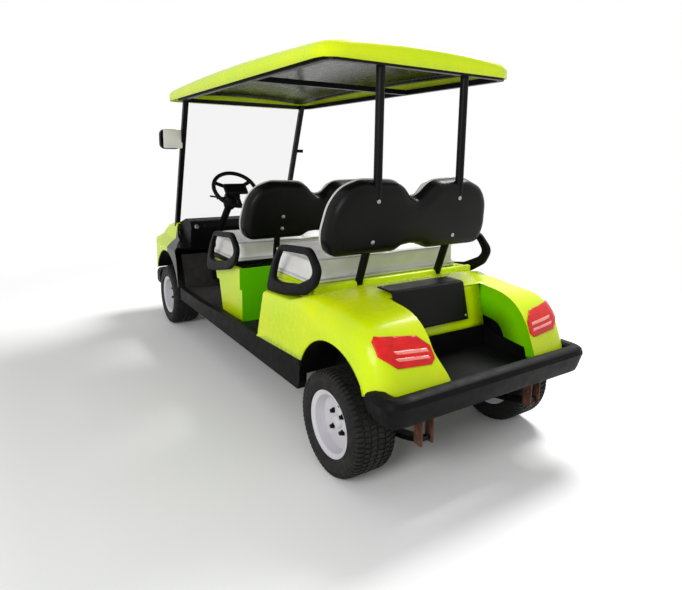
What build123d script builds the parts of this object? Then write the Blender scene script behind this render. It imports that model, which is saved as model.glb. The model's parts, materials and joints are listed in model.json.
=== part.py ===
from build123d import *
import math
import os

os.makedirs("parts", exist_ok=True)

# Four-seat golf cart. Millimetres, +Z up, the cart faces -Y, +X is the driver's left.
# The origin is on the ground, midway between the two bumpers.

# ---------------------------------------------------------------- driving dimensions
length = 3280.0
wheelbase = 2450.0
rear_overhang = 430.0
tyre_r = 229.0
tyre_w = 205.0
rear_tyre_out = 590.0
front_tyre_out = 575.0
rim_lip_r = 145.0
rim_recess = 11.0
fit = 0.05
touch = 0.3

rear_end = length / 2
rear_axle_y = rear_end - rear_overhang
front_axle_y = rear_axle_y - wheelbase
front_end = -length / 2

# body panels
skin = 6.0
body_half_w = 575.0
floor_z = 345.0
floor_t = 10.0
sill_bottom = 262.0
arch_r = 282.0
rear_arch_z = 305.0
front_arch_r = 304.0
front_arch_z = 282.0

# seats: the rear one is given, the front one stands seat_pitch ahead of it and lower
seat_pitch = 912.0
seat_drop = 52.0
seat_half_w = 490.0
cushion_t = 134.0
cushion_depth = 462.0
seat_tray_t = 24.0
rear_seat_base_z = 724.0
rear_cushion_back = 888.0
back_lean = 11.5
back_shell_t = 22.0
back_pad_t = 62.0

# canopy
roof_z = 1746.0
roof_rise = 0.72
roof_half_w = 556.0
roof_front = -1110.0
roof_back = 1090.0
roof_lip = 46.0
roof_t = 6.0
roof_flange = 66.0
rail_size = 28.0
strut_r = 20.0
strut_x = 252.0
pillar_r = 17.0
pillar_x = 472.0

# steering
kingpin_x = 400.0
kingpin_r = 10.0
spindle_r = 18.0
wheel_hub_in = 85.0
arm_dx = 65.0
arm_dy = 115.0


def z_roof(y):
    # height of the canopy's lower edge at a place along the cart
    return roof_z + y * math.tan(math.radians(roof_rise))


def side_plane(x):
    # sketch plane across the cart: sketch x is cart Y, sketch y is cart Z, normal is +X
    return Plane(origin=(x, 0, 0), x_dir=(0, 1, 0), z_dir=(1, 0, 0))


def rear_plane(y):
    # sketch plane facing forward: sketch x is cart X, sketch y is cart Z, normal is -Y
    return Plane(origin=(0, y, 0), x_dir=(1, 0, 0), z_dir=(0, -1, 0))


roof_plane = Plane(
    origin=(0, 0, roof_z),
    x_dir=(1, 0, 0),
    z_dir=(0, -math.sin(math.radians(roof_rise)), math.cos(math.radians(roof_rise))),
)

# ---------------------------------------------------------------- chassis
rail_x = 285.0
rail_w = 40.0
front_rail_x = 190.0
rail_h = 60.0
rail_z = floor_z - floor_t - rail_h
kick_z = 365.0
cross_members = (-380.0, 250.0, 880.0)

with BuildPart() as chassis_frame:
    # main rails with a kick-up over the rear axle
    with BuildSketch(side_plane(rail_x - rail_w / 2)):
        with BuildLine():
            Polyline(
                (-930, rail_z), (930, rail_z), (1010, kick_z), (1540, kick_z),
                (1540, kick_z + rail_h), (980, kick_z + rail_h), (900, rail_z + rail_h),
                (-930, rail_z + rail_h), close=True,
            )
        make_face()
    extrude(amount=rail_w)
    # narrow front rails between the steered wheels
    with BuildSketch(side_plane(front_rail_x - rail_w / 2)):
        with BuildLine():
            Polyline(
                (-890, rail_z), (-930, rail_z), (-1010, 322), (-1580, 322), (-1580, 372),
                (-970, 372), (-930, rail_z + rail_h), (-890, rail_z + rail_h), close=True,
            )
        make_face()
    extrude(amount=rail_w)
    mirror(about=Plane.YZ)
    with BuildSketch(Plane.XY.offset(rail_z)):
        with Locations([(0, y) for y in cross_members]):
            Rectangle(2 * rail_x, rail_w)
        with Locations((0, -910)):
            Rectangle(2 * rail_x + rail_w, rail_w)
    extrude(amount=rail_h)
    with BuildSketch(Plane.XY.offset(322)):
        with Locations((0, -1560)):
            Rectangle(2 * front_rail_x, rail_w)
    extrude(amount=50)
    with BuildSketch(Plane.XY.offset(kick_z)):
        with Locations((0, 1520), (0, 1060)):
            Rectangle(2 * rail_x, rail_w)
    extrude(amount=rail_h)
chassis_frame.part.label = "chassis_frame"
export_step(chassis_frame.part, "parts/chassis_frame.step")

# ---------------------------------------------------------------- floor and sills
floor_half_w = 520.0
floor_front = -915.0
floor_back = 548.0
toe_top_y = -1010.0
toe_top_z = 585.0

with BuildPart() as floor_pan:
    with BuildSketch(side_plane(-floor_half_w)):
        with BuildLine():
            Polyline(
                (floor_back, floor_z - floor_t), (floor_back, floor_z), (floor_front, floor_z),
                (toe_top_y, toe_top_z), (toe_top_y - floor_t, toe_top_z - 5),
                (floor_front - 5, floor_z - floor_t), close=True,
            )
        make_face()
    extrude(amount=2 * floor_half_w)
floor_pan.part.label = "floor_pan"
export_step(floor_pan.part, "parts/floor_pan.step")

sill_in = floor_half_w + touch
sill_out = 560.0
with BuildPart() as rocker_panels:
    with BuildSketch(side_plane(sill_in)):
        with BuildLine():
            Polyline(
                (-930, sill_bottom), (900, sill_bottom), (918, 300), (918, 424), (467, 401 - touch),
                (-488, 350), (-930, 350), close=True,
            )
        make_face()
    extrude(amount=sill_out - sill_in)
    mirror(about=Plane.YZ)
rocker_panels.part.label = "rocker_panels"
export_step(rocker_panels.part, "parts/rocker_panels.step")

# ---------------------------------------------------------------- rear body
# outline of the quarter panels from the side: cart Y, cart Z
rear_front_foot = (467.0, 401.0)
rear_front_top = (548.0, 660.0)
notch = (855.0, 682.0)
deck_front = (1020.0, 768.0)
deck_back = (1112.0, 764.0)
fender_top = (1408.0, 709.0)
tail_mid = (1505.0, 600.0)
tail_foot = (1545.0, 455.0)
arch_foot = (952.0, 426.0)
well_half_w = 285.0
well_front_top = (1213.0, 790.0)
well_front_mid = (1268.0, 560.0)
well_floor_z = 440.0
seat_base_half_w = 470.0

with BuildPart() as rear_outer:
    with BuildSketch(side_plane(-body_half_w - 20)):
        with BuildLine():
            Polyline(
                tail_foot, (1440, 455), (952, 426), rear_front_foot, rear_front_top, notch,
                deck_front, deck_back, fender_top,
            )
            ThreePointArc(fender_top, tail_mid, tail_foot)
        make_face()
    extrude(amount=2 * (body_half_w + 20))
    # crowned cross-section: the shoulders fall away towards the wheels
    with BuildSketch(rear_plane(1700)):
        with BuildLine():
            crown = ThreePointArc((-600, 624), (0, 800), (600, 624))
            Polyline(crown @ 1, (600, 370), (-600, 370), crown @ 0)
        make_face()
    extrude(amount=1300, mode=Mode.INTERSECT)
    # rounded corners in plan
    with BuildSketch(Plane.XY.offset(380)):
        with Locations((0, 900)):
            RectangleRounded(2 * body_half_w, 1320, 85)
    extrude(amount=450, mode=Mode.INTERSECT)
    # raised base that the rear seat lies on
    with BuildSketch(side_plane(-seat_base_half_w)):
        with BuildLine():
            Polyline(
                (548, 420), (548, rear_seat_base_z), (925, rear_seat_base_z), (1000, 755),
                (1000, 420), close=True,
            )
        make_face()
    extrude(amount=2 * seat_base_half_w)

with BuildPart() as rear_cavity:
    with BuildSketch(side_plane(-body_half_w - 20)):
        with BuildLine():
            Polyline(
                (1538, 400), (560, 395), (560, 650), (850, 674), (1022, 759), (1110, 757),
                (1404, 702),
            )
            ThreePointArc((1404, 702), (1498, 598), (1538, 400))
        make_face()
    extrude(amount=2 * (body_half_w + 20))
    with BuildSketch(rear_plane(1700)):
        with BuildLine():
            crown = ThreePointArc((-600, 616), (0, 792), (600, 616))
            Polyline(crown @ 1, (600, 370), (-600, 370), crown @ 0)
        make_face()
    extrude(amount=1300, mode=Mode.INTERSECT)
    with BuildSketch(Plane.XY.offset(380)):
        with Locations((0, 900)):
            RectangleRounded(2 * (body_half_w - skin), 1320 - 2 * skin, 80)
    extrude(amount=450, mode=Mode.INTERSECT)
    # the walls of the bag well stay
    with BuildSketch(side_plane(-well_half_w - skin)):
        with BuildLine():
            Polyline(
                (1213 - skin, 800), (1268 - skin, 560), (1268 - skin, well_floor_z - skin),
                (1700, well_floor_z - skin), (1700, 800), close=True,
            )
        make_face()
    extrude(amount=2 * (well_half_w + skin), mode=Mode.SUBTRACT)

with BuildPart() as rear_body:
    add(rear_outer.part)
    add(rear_cavity.part, mode=Mode.SUBTRACT)
    with BuildSketch(Plane.XY.offset(floor_z)):
        with Locations((0, (560 + 900) / 2)):
            Rectangle(2 * (seat_base_half_w - 14), 900 - 560)
    extrude(amount=rear_seat_base_z - floor_z + 10, mode=Mode.SUBTRACT)
    # bag well, open to the rear
    with BuildSketch(side_plane(-well_half_w)):
        with BuildLine():
            Polyline(
                (1213, 800), (1268, 560), (1268, well_floor_z), (1700, well_floor_z),
                (1700, 800), close=True,
            )
        make_face()
    extrude(amount=2 * well_half_w, mode=Mode.SUBTRACT)
    # opening behind the access cover
    with BuildSketch(side_plane(-175 - touch)):
        with BuildLine():
            Polyline((1112 - touch, 740), (1112 - touch, 800), (1300, 800), (1300, 588 - touch), (1200, 588 - touch), (1200, 740), close=True)
        make_face()
    extrude(amount=350 + 2 * touch, mode=Mode.SUBTRACT)
    # wheel arches
    with Locations((0, rear_axle_y, rear_arch_z)):
        with Locations(Rotation(0, 90, 0)):
            Cylinder(arch_r, 2 * body_half_w + 40, mode=Mode.SUBTRACT)
rear_body.part.label = "rear_body"
export_step(rear_body.part, "parts/rear_body.step")

liner_t = 4.0
with BuildPart() as rear_access_cover:
    # closed box lid over the front wall of the bag well
    with BuildSketch(side_plane(-175)):
        with BuildLine():
            Polyline(
                (1112, 766), (1214, 766), (1264, 590), (1259, 588), (1211, 760), (1112, 760),
                close=True,
            )
        make_face()
    extrude(amount=350)
rear_access_cover.part.label = "rear_access_cover"
export_step(rear_access_cover.part, "parts/rear_access_cover.step")

liner_top = 545.0
with BuildPart() as bag_well_liner:
    with BuildSketch(side_plane(-well_half_w + touch)):
        with BuildLine():
            Polyline(
                (1268 + touch, well_floor_z + touch), (1268 + touch, liner_top), (1330, 520),
                (1505, 501), (1525, well_floor_z + touch), close=True,
            )
        make_face()
    extrude(amount=2 * (well_half_w - touch))
    with BuildSketch(side_plane(-well_half_w + touch + liner_t)):
        with BuildLine():
            Polyline(
                (1268 + touch + liner_t, well_floor_z + liner_t + touch),
                (1268 + touch + liner_t, 700), (1700, 700),
                (1700, well_floor_z + liner_t + touch), close=True,
            )
        make_face()
    extrude(amount=2 * (well_half_w - touch - liner_t), mode=Mode.SUBTRACT)
bag_well_liner.part.label = "bag_well_liner"
export_step(bag_well_liner.part, "parts/bag_well_liner.step")

# tail lamps wrap the rear corners
lamp_grow = 6.0
with BuildPart() as lamp_skin:
    with BuildSketch(side_plane(-body_half_w - lamp_grow)):
        with BuildLine():
            Polyline((1551, 455), (1300, 455), (1300, 709), (1413, 713))
            ThreePointArc((1413, 713), (1512, 603), (1551, 455))
        make_face()
    extrude(amount=2 * (body_half_w + lamp_grow))
    with BuildSketch(Plane.XY.offset(380)):
        with Locations((0, 900)):
            RectangleRounded(2 * (body_half_w + lamp_grow), 1320 + 2 * lamp_grow, 90)
    extrude(amount=450, mode=Mode.INTERSECT)
    add(rear_outer.part, mode=Mode.SUBTRACT)

lamp_outline = (
    (590, 690), (540, 678), (516, 672), (344, 654), (290, 613), (291, 565), (300, 552),
    (465, 559), (540, 600), (590, 645),
)
with BuildPart() as tail_lamps:
    with BuildSketch(rear_plane(1700)):
        with BuildLine():
            Polyline(*lamp_outline, close=True)
        make_face()
    extrude(amount=238)
    add(lamp_skin.part, mode=Mode.INTERSECT)
    mirror(about=Plane.YZ)
tail_lamps.part.label = "tail_lamps"
export_step(tail_lamps.part, "parts/tail_lamps.step")

# ---------------------------------------------------------------- front cowl
dash_half_w = 462.0
screen_foot = (-1245.0, 800.0)
nose_top = (-1560.0, 660.0)
nose_front = (front_end + 8, 560.0)
nose_foot = (front_end + 22, 400.0)
cowl_back = -1128.0

cowl_top_back = -1216.0
cowl_shapes = []
for inset in (0.0, skin):
    with BuildPart() as cowl_form:
        with BuildSketch(side_plane(-body_half_w - 20)):
            with BuildLine():
                lower = 350 - 20 * inset
                Polyline(
                    (nose_foot[0] + inset, lower), (-935 + 4 * inset, lower), (-935 + 4 * inset, 352),
                    (-968 + 4 * inset, 560 + 4 * inset), (-1010, 640 - inset), (-1150, 706 - inset),
                    (cowl_top_back + 4 * inset, 803 - inset), (-1245, 801 - inset),
                )
                ThreePointArc(
                    (-1245, 801 - inset), (-1420 + inset / 2, 757 - inset), (nose_top[0] + inset, nose_top[1] - inset)
                )
                ThreePointArc(
                    (nose_top[0] + inset, nose_top[1] - inset),
                    (-1612 + inset, 620 - inset / 2),
                    (nose_front[0] + inset, nose_front[1]),
                )
                Line((nose_front[0] + inset, nose_front[1]), (nose_foot[0] + inset, lower))
            make_face()
        extrude(amount=2 * (body_half_w + 20))
        with BuildSketch(rear_plane(-850)):
            with BuildLine():
                wide = body_half_w - inset
                Polyline((-wide - 30, 570), (-wide - 30, 200), (wide + 30, 200), (wide + 30, 570))
                ThreePointArc((wide + 30, 570), (547 - inset, 650 - inset), (505 - inset, 682 - inset))
                Line((505 - inset, 682 - inset), (484 - inset, 800 - inset))
                ThreePointArc((484 - inset, 800 - inset), (0, 840 - inset), (-484 + inset, 800 - inset))
                Line((-484 + inset, 800 - inset), (-505 + inset, 682 - inset))
                ThreePointArc((-505 + inset, 682 - inset), (-547 + inset, 650 - inset), (-wide - 30, 570))
            make_face()
        extrude(amount=850, mode=Mode.INTERSECT)
        with BuildSketch(Plane.XY.offset(200)):
            with Locations((0, front_end + 500)):
                RectangleRounded(2 * (body_half_w - inset), 1000 - 2 * inset, 150 - inset)
        extrude(amount=700, mode=Mode.INTERSECT)
    cowl_shapes.append(cowl_form.part)

with BuildPart() as front_cowl:
    add(cowl_shapes[0])
    add(cowl_shapes[1], mode=Mode.SUBTRACT)
    with Locations((0, front_axle_y, front_arch_z)):
        with Locations(Rotation(0, 90, 0)):
            Cylinder(front_arch_r, 2 * body_half_w + 40, mode=Mode.SUBTRACT)
    with BuildSketch(Plane.XY.offset(300)):
        with Locations((0, front_end)):
            Rectangle(1400, 400)
    extrude(amount=100, mode=Mode.SUBTRACT)
front_cowl.part.label = "front_cowl"
export_step(front_cowl.part, "parts/front_cowl.step")

# ---------------------------------------------------------------- wheel arch liners
wheel_wells = (
    # axle place, arch centre height, arch radius, inner face, lowest edge
    (rear_axle_y, rear_arch_z, arch_r, 366.0, floor_z),
    (front_axle_y, front_arch_z, front_arch_r, 255.0, 404.0),
)
with BuildPart() as wheel_arch_liners:
    for axle_y, arch_z, radius, inner_face, low_edge in wheel_wells:
        with BuildSketch(side_plane(inner_face)):
            with Locations((axle_y, arch_z)):
                Circle(radius + liner_t)
            with Locations((axle_y, low_edge - 300)):
                Rectangle(800, 600, mode=Mode.SUBTRACT)
        extrude(amount=body_half_w - skin - touch - inner_face)
        with BuildSketch(side_plane(inner_face + liner_t)):
            with Locations((axle_y, arch_z)):
                Circle(radius)
        extrude(amount=400, mode=Mode.SUBTRACT)
    mirror(about=Plane.YZ)
    add(cowl_shapes[0] - cowl_shapes[1], mode=Mode.SUBTRACT)
wheel_arch_liners.part.label = "wheel_arch_liners"
export_step(wheel_arch_liners.part, "parts/wheel_arch_liners.step")

# ---------------------------------------------------------------- dashboard, screen, canopy
with BuildPart() as dashboard:
    with BuildSketch(side_plane(-dash_half_w)):
        with BuildLine():
            Polyline(
                (-1210, 808), (-1212, 770), (-1150, 640), (-1085, 600), (-985, 620), (-935, 790),
                (-960, 842), (-1060, 852), close=True,
            )
        make_face()
    extrude(amount=2 * dash_half_w)
    # open glove bays on the driver's and the passenger's side
    with BuildSketch(rear_plane(-900)):
        with Locations((-270, 745)):
            RectangleRounded(300, 90, 15)
    extrude(amount=160, mode=Mode.SUBTRACT)
    add(front_cowl.part, mode=Mode.SUBTRACT)
dashboard.part.label = "dashboard"
export_step(dashboard.part, "parts/dashboard.step")

pillar_top_y = -926.0
pillar_foot_y = -1262.0
pillar_foot_z = 756.0
pillar_top_z = z_roof(pillar_top_y) - touch

with BuildPart() as front_pillars:
    with BuildSketch(side_plane(pillar_x - pillar_r)):
        with BuildLine():
            Polyline(
                (pillar_foot_y - 17, pillar_foot_z), (pillar_foot_y + 17, pillar_foot_z),
                (pillar_top_y + 17, pillar_top_z), (pillar_top_y - 17, pillar_top_z), close=True,
            )
        make_face()
    extrude(amount=2 * pillar_r)
    add(cowl_shapes[0], mode=Mode.SUBTRACT)
    mirror(about=Plane.YZ)

screen_t = 5.0
screen_half_w = pillar_x - pillar_r - touch
screen_lean = math.degrees(math.atan2(pillar_top_y - pillar_foot_y, pillar_top_z - pillar_foot_z))
screen_plane = Plane(
    origin=(0, pillar_foot_y, pillar_foot_z),
    x_dir=(1, 0, 0),
    z_dir=(0, -math.cos(math.radians(screen_lean)), math.sin(math.radians(screen_lean))),
)
screen_h = (pillar_top_z - pillar_foot_z) / math.cos(math.radians(screen_lean))
with BuildPart() as windscreen:
    with BuildSketch(screen_plane.offset(-screen_t / 2)):
        with Locations((0, 62 + (screen_h - 62 - 34) / 2)):
            RectangleRounded(2 * screen_half_w, screen_h - 62 - 34, 20)
    extrude(amount=screen_t)
windscreen.part.label = "windscreen"
export_step(windscreen.part, "parts/windscreen.step")

roof_len = roof_back - roof_front
roof_mid = (roof_back + roof_front) / 2
roof_cut_w = roof_half_w + 30
crown_side = roof_z + roof_lip - 8
crown_top = roof_z + 104
with BuildPart() as roof_cavity:
    with BuildSketch(roof_plane.offset(-5)):
        with Locations((0, roof_mid)):
            RectangleRounded(2 * (roof_half_w - roof_t), roof_len - 2 * roof_t, 104)
    extrude(amount=130)
    with BuildSketch(rear_plane(1300)):
        with BuildLine():
            under = ThreePointArc(
                (-roof_cut_w, crown_side - roof_t), (0, crown_top - roof_t), (roof_cut_w, crown_side - roof_t)
            )
            Polyline(under @ 1, (roof_cut_w, 1600), (-roof_cut_w, 1600), under @ 0)
        make_face()
    extrude(amount=2600, mode=Mode.INTERSECT)

with BuildPart() as roof_panel:
    with BuildSketch(roof_plane):
        with Locations((0, roof_mid)):
            RectangleRounded(2 * roof_half_w, roof_len, 110)
    extrude(amount=130)
    with BuildSketch(rear_plane(1300)):
        with BuildLine():
            top = ThreePointArc((-roof_cut_w, crown_side), (0, crown_top), (roof_cut_w, crown_side))
            Polyline(top @ 1, (roof_cut_w, 1600), (-roof_cut_w, 1600), top @ 0)
        make_face()
    extrude(amount=2600, mode=Mode.INTERSECT)
    add(roof_cavity.part, mode=Mode.SUBTRACT)
    # flange that the frame bears on
    with BuildSketch(roof_plane):
        with Locations((0, roof_mid)):
            RectangleRounded(2 * (roof_half_w - 3), roof_len - 6, 107)
            RectangleRounded(
                2 * (roof_half_w - roof_flange), roof_len - 2 * roof_flange, 50, mode=Mode.SUBTRACT
            )
    extrude(amount=roof_t)
roof_panel.part.label = "roof_panel"
export_step(roof_panel.part, "parts/roof_panel.step")

rail_out = roof_half_w - 22
strut_top_y = 1079.0
with BuildPart() as roof_rails:
    with BuildSketch(roof_plane.offset(-touch)):
        with Locations((0, (strut_top_y + pillar_top_y) / 2)):
            RectangleRounded(2 * rail_out, strut_top_y - pillar_top_y + 60, 60)
            RectangleRounded(
                2 * (rail_out - rail_size), strut_top_y - pillar_top_y + 60 - 2 * rail_size, 40,
                mode=Mode.SUBTRACT,
            )
        with Locations((0, 330)):
            Rectangle(2 * (rail_out - rail_size) + 6, rail_size)
    extrude(amount=-rail_size)
    # the struts and pillars pass up through the frame
    with BuildSketch(Plane.XY.offset(1600)):
        with Locations((strut_x, strut_top_y), (-strut_x, strut_top_y)):
            Circle(strut_r + touch)
    extrude(amount=300, mode=Mode.SUBTRACT)
    with BuildSketch(side_plane(-pillar_x - pillar_r - touch)):
        with BuildLine():
            Polyline(
                (pillar_foot_y - 18, pillar_foot_z), (pillar_foot_y + 18, pillar_foot_z),
                (pillar_top_y + 18, pillar_top_z), (pillar_top_y - 18, pillar_top_z), close=True,
            )
        make_face()
    extrude(amount=2 * (pillar_x + pillar_r + touch), mode=Mode.SUBTRACT)
roof_rails.part.label = "roof_rails"
export_step(roof_rails.part, "parts/roof_rails.step")

strut_path = (
    (strut_x, 925, 690), (strut_x, 1022, 964), (strut_x, strut_top_y, 1185),
    (strut_x, strut_top_y, z_roof(strut_top_y) - 0.6),
)
with BuildPart() as canopy_posts:
    with BuildLine():
        FilletPolyline(*strut_path, radius=150)
    with BuildSketch(Plane(origin=strut_path[0], z_dir=(0, 94, 274))):
        Circle(strut_r)
    sweep()
    add(rear_outer.part, mode=Mode.SUBTRACT)
    mirror(about=Plane.YZ)
    add(front_pillars.part)
canopy_posts.part.label = "canopy_posts"
export_step(canopy_posts.part, "parts/canopy_posts.step")

with BuildPart() as mirrors:
    # the driver's mirror, and the bare bracket on the other pillar
    with BuildSketch(rear_plane(-1085)):
        with Locations((548, 1444)):
            RectangleRounded(146, 144, 38)
    extrude(amount=38)
    with BuildSketch(rear_plane(-1022)):
        with Locations((pillar_x + pillar_r + touch + 12, 1430)):
            RectangleRounded(24, 90, 11)
    extrude(amount=70)
    with BuildSketch(rear_plane(-1040)):
        with Locations((-pillar_x - pillar_r - touch - 28, 1372)):
            Rectangle(56, 26)
    extrude(amount=18)
mirrors.part.label = "mirrors"
export_step(mirrors.part, "parts/mirrors.step")

# ---------------------------------------------------------------- seats
lean = math.radians(back_lean)
box_half_w = 495.0
lobe = (
    (0, 262), (45, 275), (110, 345), (330, 352), (430, 318), (482, 240), (505, 95), (478, 4),
    (100, 4), (60, 30), (0, 36),
)


def back_plane(shift_y, shift_z, forward):
    # plane along a leaning backrest, normal pointing forward, moved forward by a distance
    return Plane(
        origin=(0, 980 + shift_y, 905 + shift_z),
        x_dir=(1, 0, 0),
        z_dir=(0, -math.cos(lean), math.sin(lean)),
    ).offset(forward)


seat_rows = (
    # row, along the cart, up
    ("rear", 0.0, 0.0),
    ("front", -seat_pitch, -seat_drop),
)
with BuildPart() as seat_shells:
    for row, dy, dz in seat_rows:
        with BuildSketch(back_plane(dy, dz, 0)):
            with BuildLine():
                Polyline(*lobe)
                mirror(about=Plane.YZ)
            make_face()
        extrude(amount=back_shell_t)
seat_shells.part.label = "seat_shells"
export_step(seat_shells.part, "parts/seat_shells.step")

with BuildPart() as seat_backs:
    for row, dy, dz in seat_rows:
        with BuildSketch(back_plane(dy, dz, back_shell_t + touch)):
            with BuildLine():
                Polyline(*lobe)
                mirror(about=Plane.YZ)
            make_face()
        extrude(amount=back_pad_t)
seat_backs.part.label = "seat_backs"
export_step(seat_backs.part, "parts/seat_backs.step")

with BuildPart() as armrests:
    for row, dy, dz in seat_rows:
        with BuildSketch(side_plane(box_half_w + touch)):
            with BuildLine():
                Polyline(
                    (510 + dy, 668 + dz), (600 + dy, 905 + dz), (690 + dy, 938 + dz),
                    (960 + dy, 938 + dz), (1040 + dy, 880 + dz), (1030 + dy, 820 + dz),
                    (900 + dy, 712 + dz), (640 + dy, 660 + dz), close=True,
                )
            make_face()
            with BuildLine():
                Polyline(
                    (575 + dy, 712 + dz), (635 + dy, 872 + dz), (700 + dy, 900 + dz),
                    (945 + dy, 900 + dz), (992 + dy, 862 + dz), (984 + dy, 835 + dz),
                    (880 + dy, 752 + dz), (650 + dy, 706 + dz), close=True,
                )
            make_face(mode=Mode.SUBTRACT)
        extrude(amount=42)
    add(rear_outer.part, mode=Mode.SUBTRACT)
    mirror(about=Plane.YZ)
armrests.part.label = "armrests"
export_step(armrests.part, "parts/armrests.step")

for row, dy, dz in seat_rows:
    base_z = rear_seat_base_z + dz
    back_y = rear_cushion_back + dy
    with BuildPart() as seat_tray:
        with BuildSketch(Plane.XY.offset(base_z + touch)):
            with Locations((0, back_y - cushion_depth / 2)):
                RectangleRounded(2 * (seat_half_w - 8), cushion_depth - 16, 40)
        extrude(amount=seat_tray_t)
    seat_tray.part.label = f"{row}_seat_tray"
    export_step(seat_tray.part, f"parts/{row}_seat_tray.step")

    with BuildPart() as seat_cushion:
        with BuildSketch(Plane.XY.offset(base_z + seat_tray_t + 2 * touch)):
            with Locations((0, back_y - cushion_depth / 2)):
                RectangleRounded(2 * seat_half_w, cushion_depth, 50)
        extrude(amount=cushion_t)
        fillet(seat_cushion.faces().sort_by(Axis.Z)[-1].edges(), radius=28)
    seat_cushion.part.label = f"{row}_seat_cushion"
    export_step(seat_cushion.part, f"parts/{row}_seat_cushion.step")

front_base_z = rear_seat_base_z - seat_drop
box_back = 60.0
box_top_front = -357.0
box_foot_front = -263.0
with BuildPart() as front_seat_box:
    with BuildSketch(side_plane(-box_half_w)):
        with BuildLine():
            Polyline(
                (box_foot_front, floor_z + touch), (box_top_front, front_base_z),
                (box_back, front_base_z), (box_back, floor_z + touch), close=True,
            )
        make_face()
    extrude(amount=2 * box_half_w)
    # the lower half is set in below a step
    with BuildSketch(Plane.XY.offset(floor_z)):
        Rectangle(2 * box_half_w + 10, 1200)
        with Locations((0, -150)):
            Rectangle(2 * (box_half_w - 14), 1200, mode=Mode.SUBTRACT)
    extrude(amount=200, mode=Mode.SUBTRACT)
    # open battery bay
    with BuildSketch(side_plane(-box_half_w + 24)):
        with BuildLine():
            Polyline(
                (box_foot_front + 8, floor_z), (box_top_front + 14, front_base_z + 10),
                (box_back - 8, front_base_z + 10), (box_back - 8, floor_z), close=True,
            )
        make_face()
    extrude(amount=2 * (box_half_w - 24), mode=Mode.SUBTRACT)
front_seat_box.part.label = "front_seat_box"
export_step(front_seat_box.part, "parts/front_seat_box.step")

with BuildPart() as battery_pack:
    with BuildSketch(Plane.XY.offset(floor_z + touch)):
        with Locations((0, -100)):
            Rectangle(760, 270)
    extrude(amount=255)
battery_pack.part.label = "battery_pack"
export_step(battery_pack.part, "parts/battery_pack.step")

with BuildPart() as front_seat_brackets:
    # flat steel posts from the seat box up the back of the shell
    with BuildSketch(side_plane(strut_x - 18)):
        with BuildLine():
            Polyline(
                (46, front_base_z + touch), (60, front_base_z + touch), (78, 853), (131, 1120),
                (110, 1120), (56, 853), close=True,
            )
        make_face()
    extrude(amount=36)
    mirror(about=Plane.YZ)
    with BuildSketch(back_plane(-seat_pitch, -seat_drop, -touch)):
        Rectangle(3000, 3000)
    extrude(amount=400, mode=Mode.SUBTRACT)
front_seat_brackets.part.label = "front_seat_brackets"
export_step(front_seat_brackets.part, "parts/front_seat_brackets.step")

# ---------------------------------------------------------------- running gear
axle_z = tyre_r
spring_x = 330.0
axle_r = 35.0
leaf_w = 50.0
leaf_t = 20.0
damper_x = 268.0
damper_dy = 62.0
damper_r = 21.0
with BuildPart() as rear_axle:
    with Locations((0, rear_axle_y, axle_z)):
        with Locations(Rotation(0, 90, 0)):
            Cylinder(axle_r, 2 * 470)
            Cylinder(100, 130)
            Cylinder(spindle_r - fit, 2 * (rear_tyre_out - rim_recess - wheel_hub_in + 20))
    with Locations((455, rear_axle_y, axle_z), (-455, rear_axle_y, axle_z)):
        with Locations(Rotation(0, 90, 0)):
            Cylinder(92, 62)
    # shock absorbers on brackets of the axle tube
    for sx in (1, -1):
        with Locations((sx * damper_x, rear_axle_y + damper_dy, (axle_z + kick_z) / 2)):
            Cylinder(damper_r, kick_z - axle_z - 2 * touch)
        with Locations((sx * damper_x, rear_axle_y + damper_dy / 2, axle_z)):
            Box(36, damper_dy, 24)
rear_axle.part.label = "rear_axle"
export_step(rear_axle.part, "parts/rear_axle.step")

with BuildPart() as motor:
    with Locations((-185, rear_axle_y - 125, axle_z + 6)):
        with Locations(Rotation(0, 90, 0)):
            Cylinder(86, 210)
    with Locations((-40, rear_axle_y - 112, axle_z + 3)):
        Box(80, 60, 90)
    with Locations((0, rear_axle_y, axle_z)):
        with Locations(Rotation(0, 90, 0)):
            Cylinder(100 + touch, 160, mode=Mode.SUBTRACT)
            Cylinder(axle_r + touch, 900, mode=Mode.SUBTRACT)
motor.part.label = "motor"
export_step(motor.part, "parts/motor.step")

with BuildPart() as rear_shackles:
    for y, top in ((1530, kick_z), (890, rail_z)):
        with BuildSketch(Plane.XY.offset(226)):
            with Locations((spring_x - leaf_w / 2 - 4 - touch, y), (spring_x + leaf_w / 2 + 4 + touch, y)):
                Rectangle(8, 44)
        extrude(amount=top - 12 - 226)
        with BuildSketch(Plane.XY.offset(top - 12)):
            with Locations(((rail_x - rail_w / 2 + spring_x + leaf_w / 2 + 8.3) / 2, y)):
                Rectangle(spring_x + leaf_w / 2 + 8.3 - rail_x + rail_w / 2, 44)
        extrude(amount=12 - touch)
    mirror(about=Plane.YZ)
rear_shackles.part.label = "rear_shackles"
export_step(rear_shackles.part, "parts/rear_shackles.step")

beam_h = 50.0
front_spring_x = 190.0
arm_top = axle_z - beam_h / 2 - 9
rack_z = arm_top + 24
rack_r = 11.0
with BuildPart() as front_axle:
    with Locations((0, front_axle_y, axle_z)):
        Box(2 * (kingpin_x - 10), 42, beam_h)
    with Locations((kingpin_x, front_axle_y, axle_z), (-kingpin_x, front_axle_y, axle_z)):
        Cylinder(22, beam_h)
        Cylinder(kingpin_r, beam_h + 10, mode=Mode.SUBTRACT)
    # steering rack housing on an arm of the beam
    with Locations((0, front_axle_y + 56, rack_z + 6)):
        Box(180, 88, 26)
    with Locations((0, front_axle_y + arm_dy, rack_z)):
        with Locations(Rotation(0, 90, 0)):
            Cylinder(24, 260)
            Cylinder(rack_r + fit, 300, mode=Mode.SUBTRACT)
front_axle.part.label = "front_axle"
export_step(front_axle.part, "parts/front_axle.step")

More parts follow.
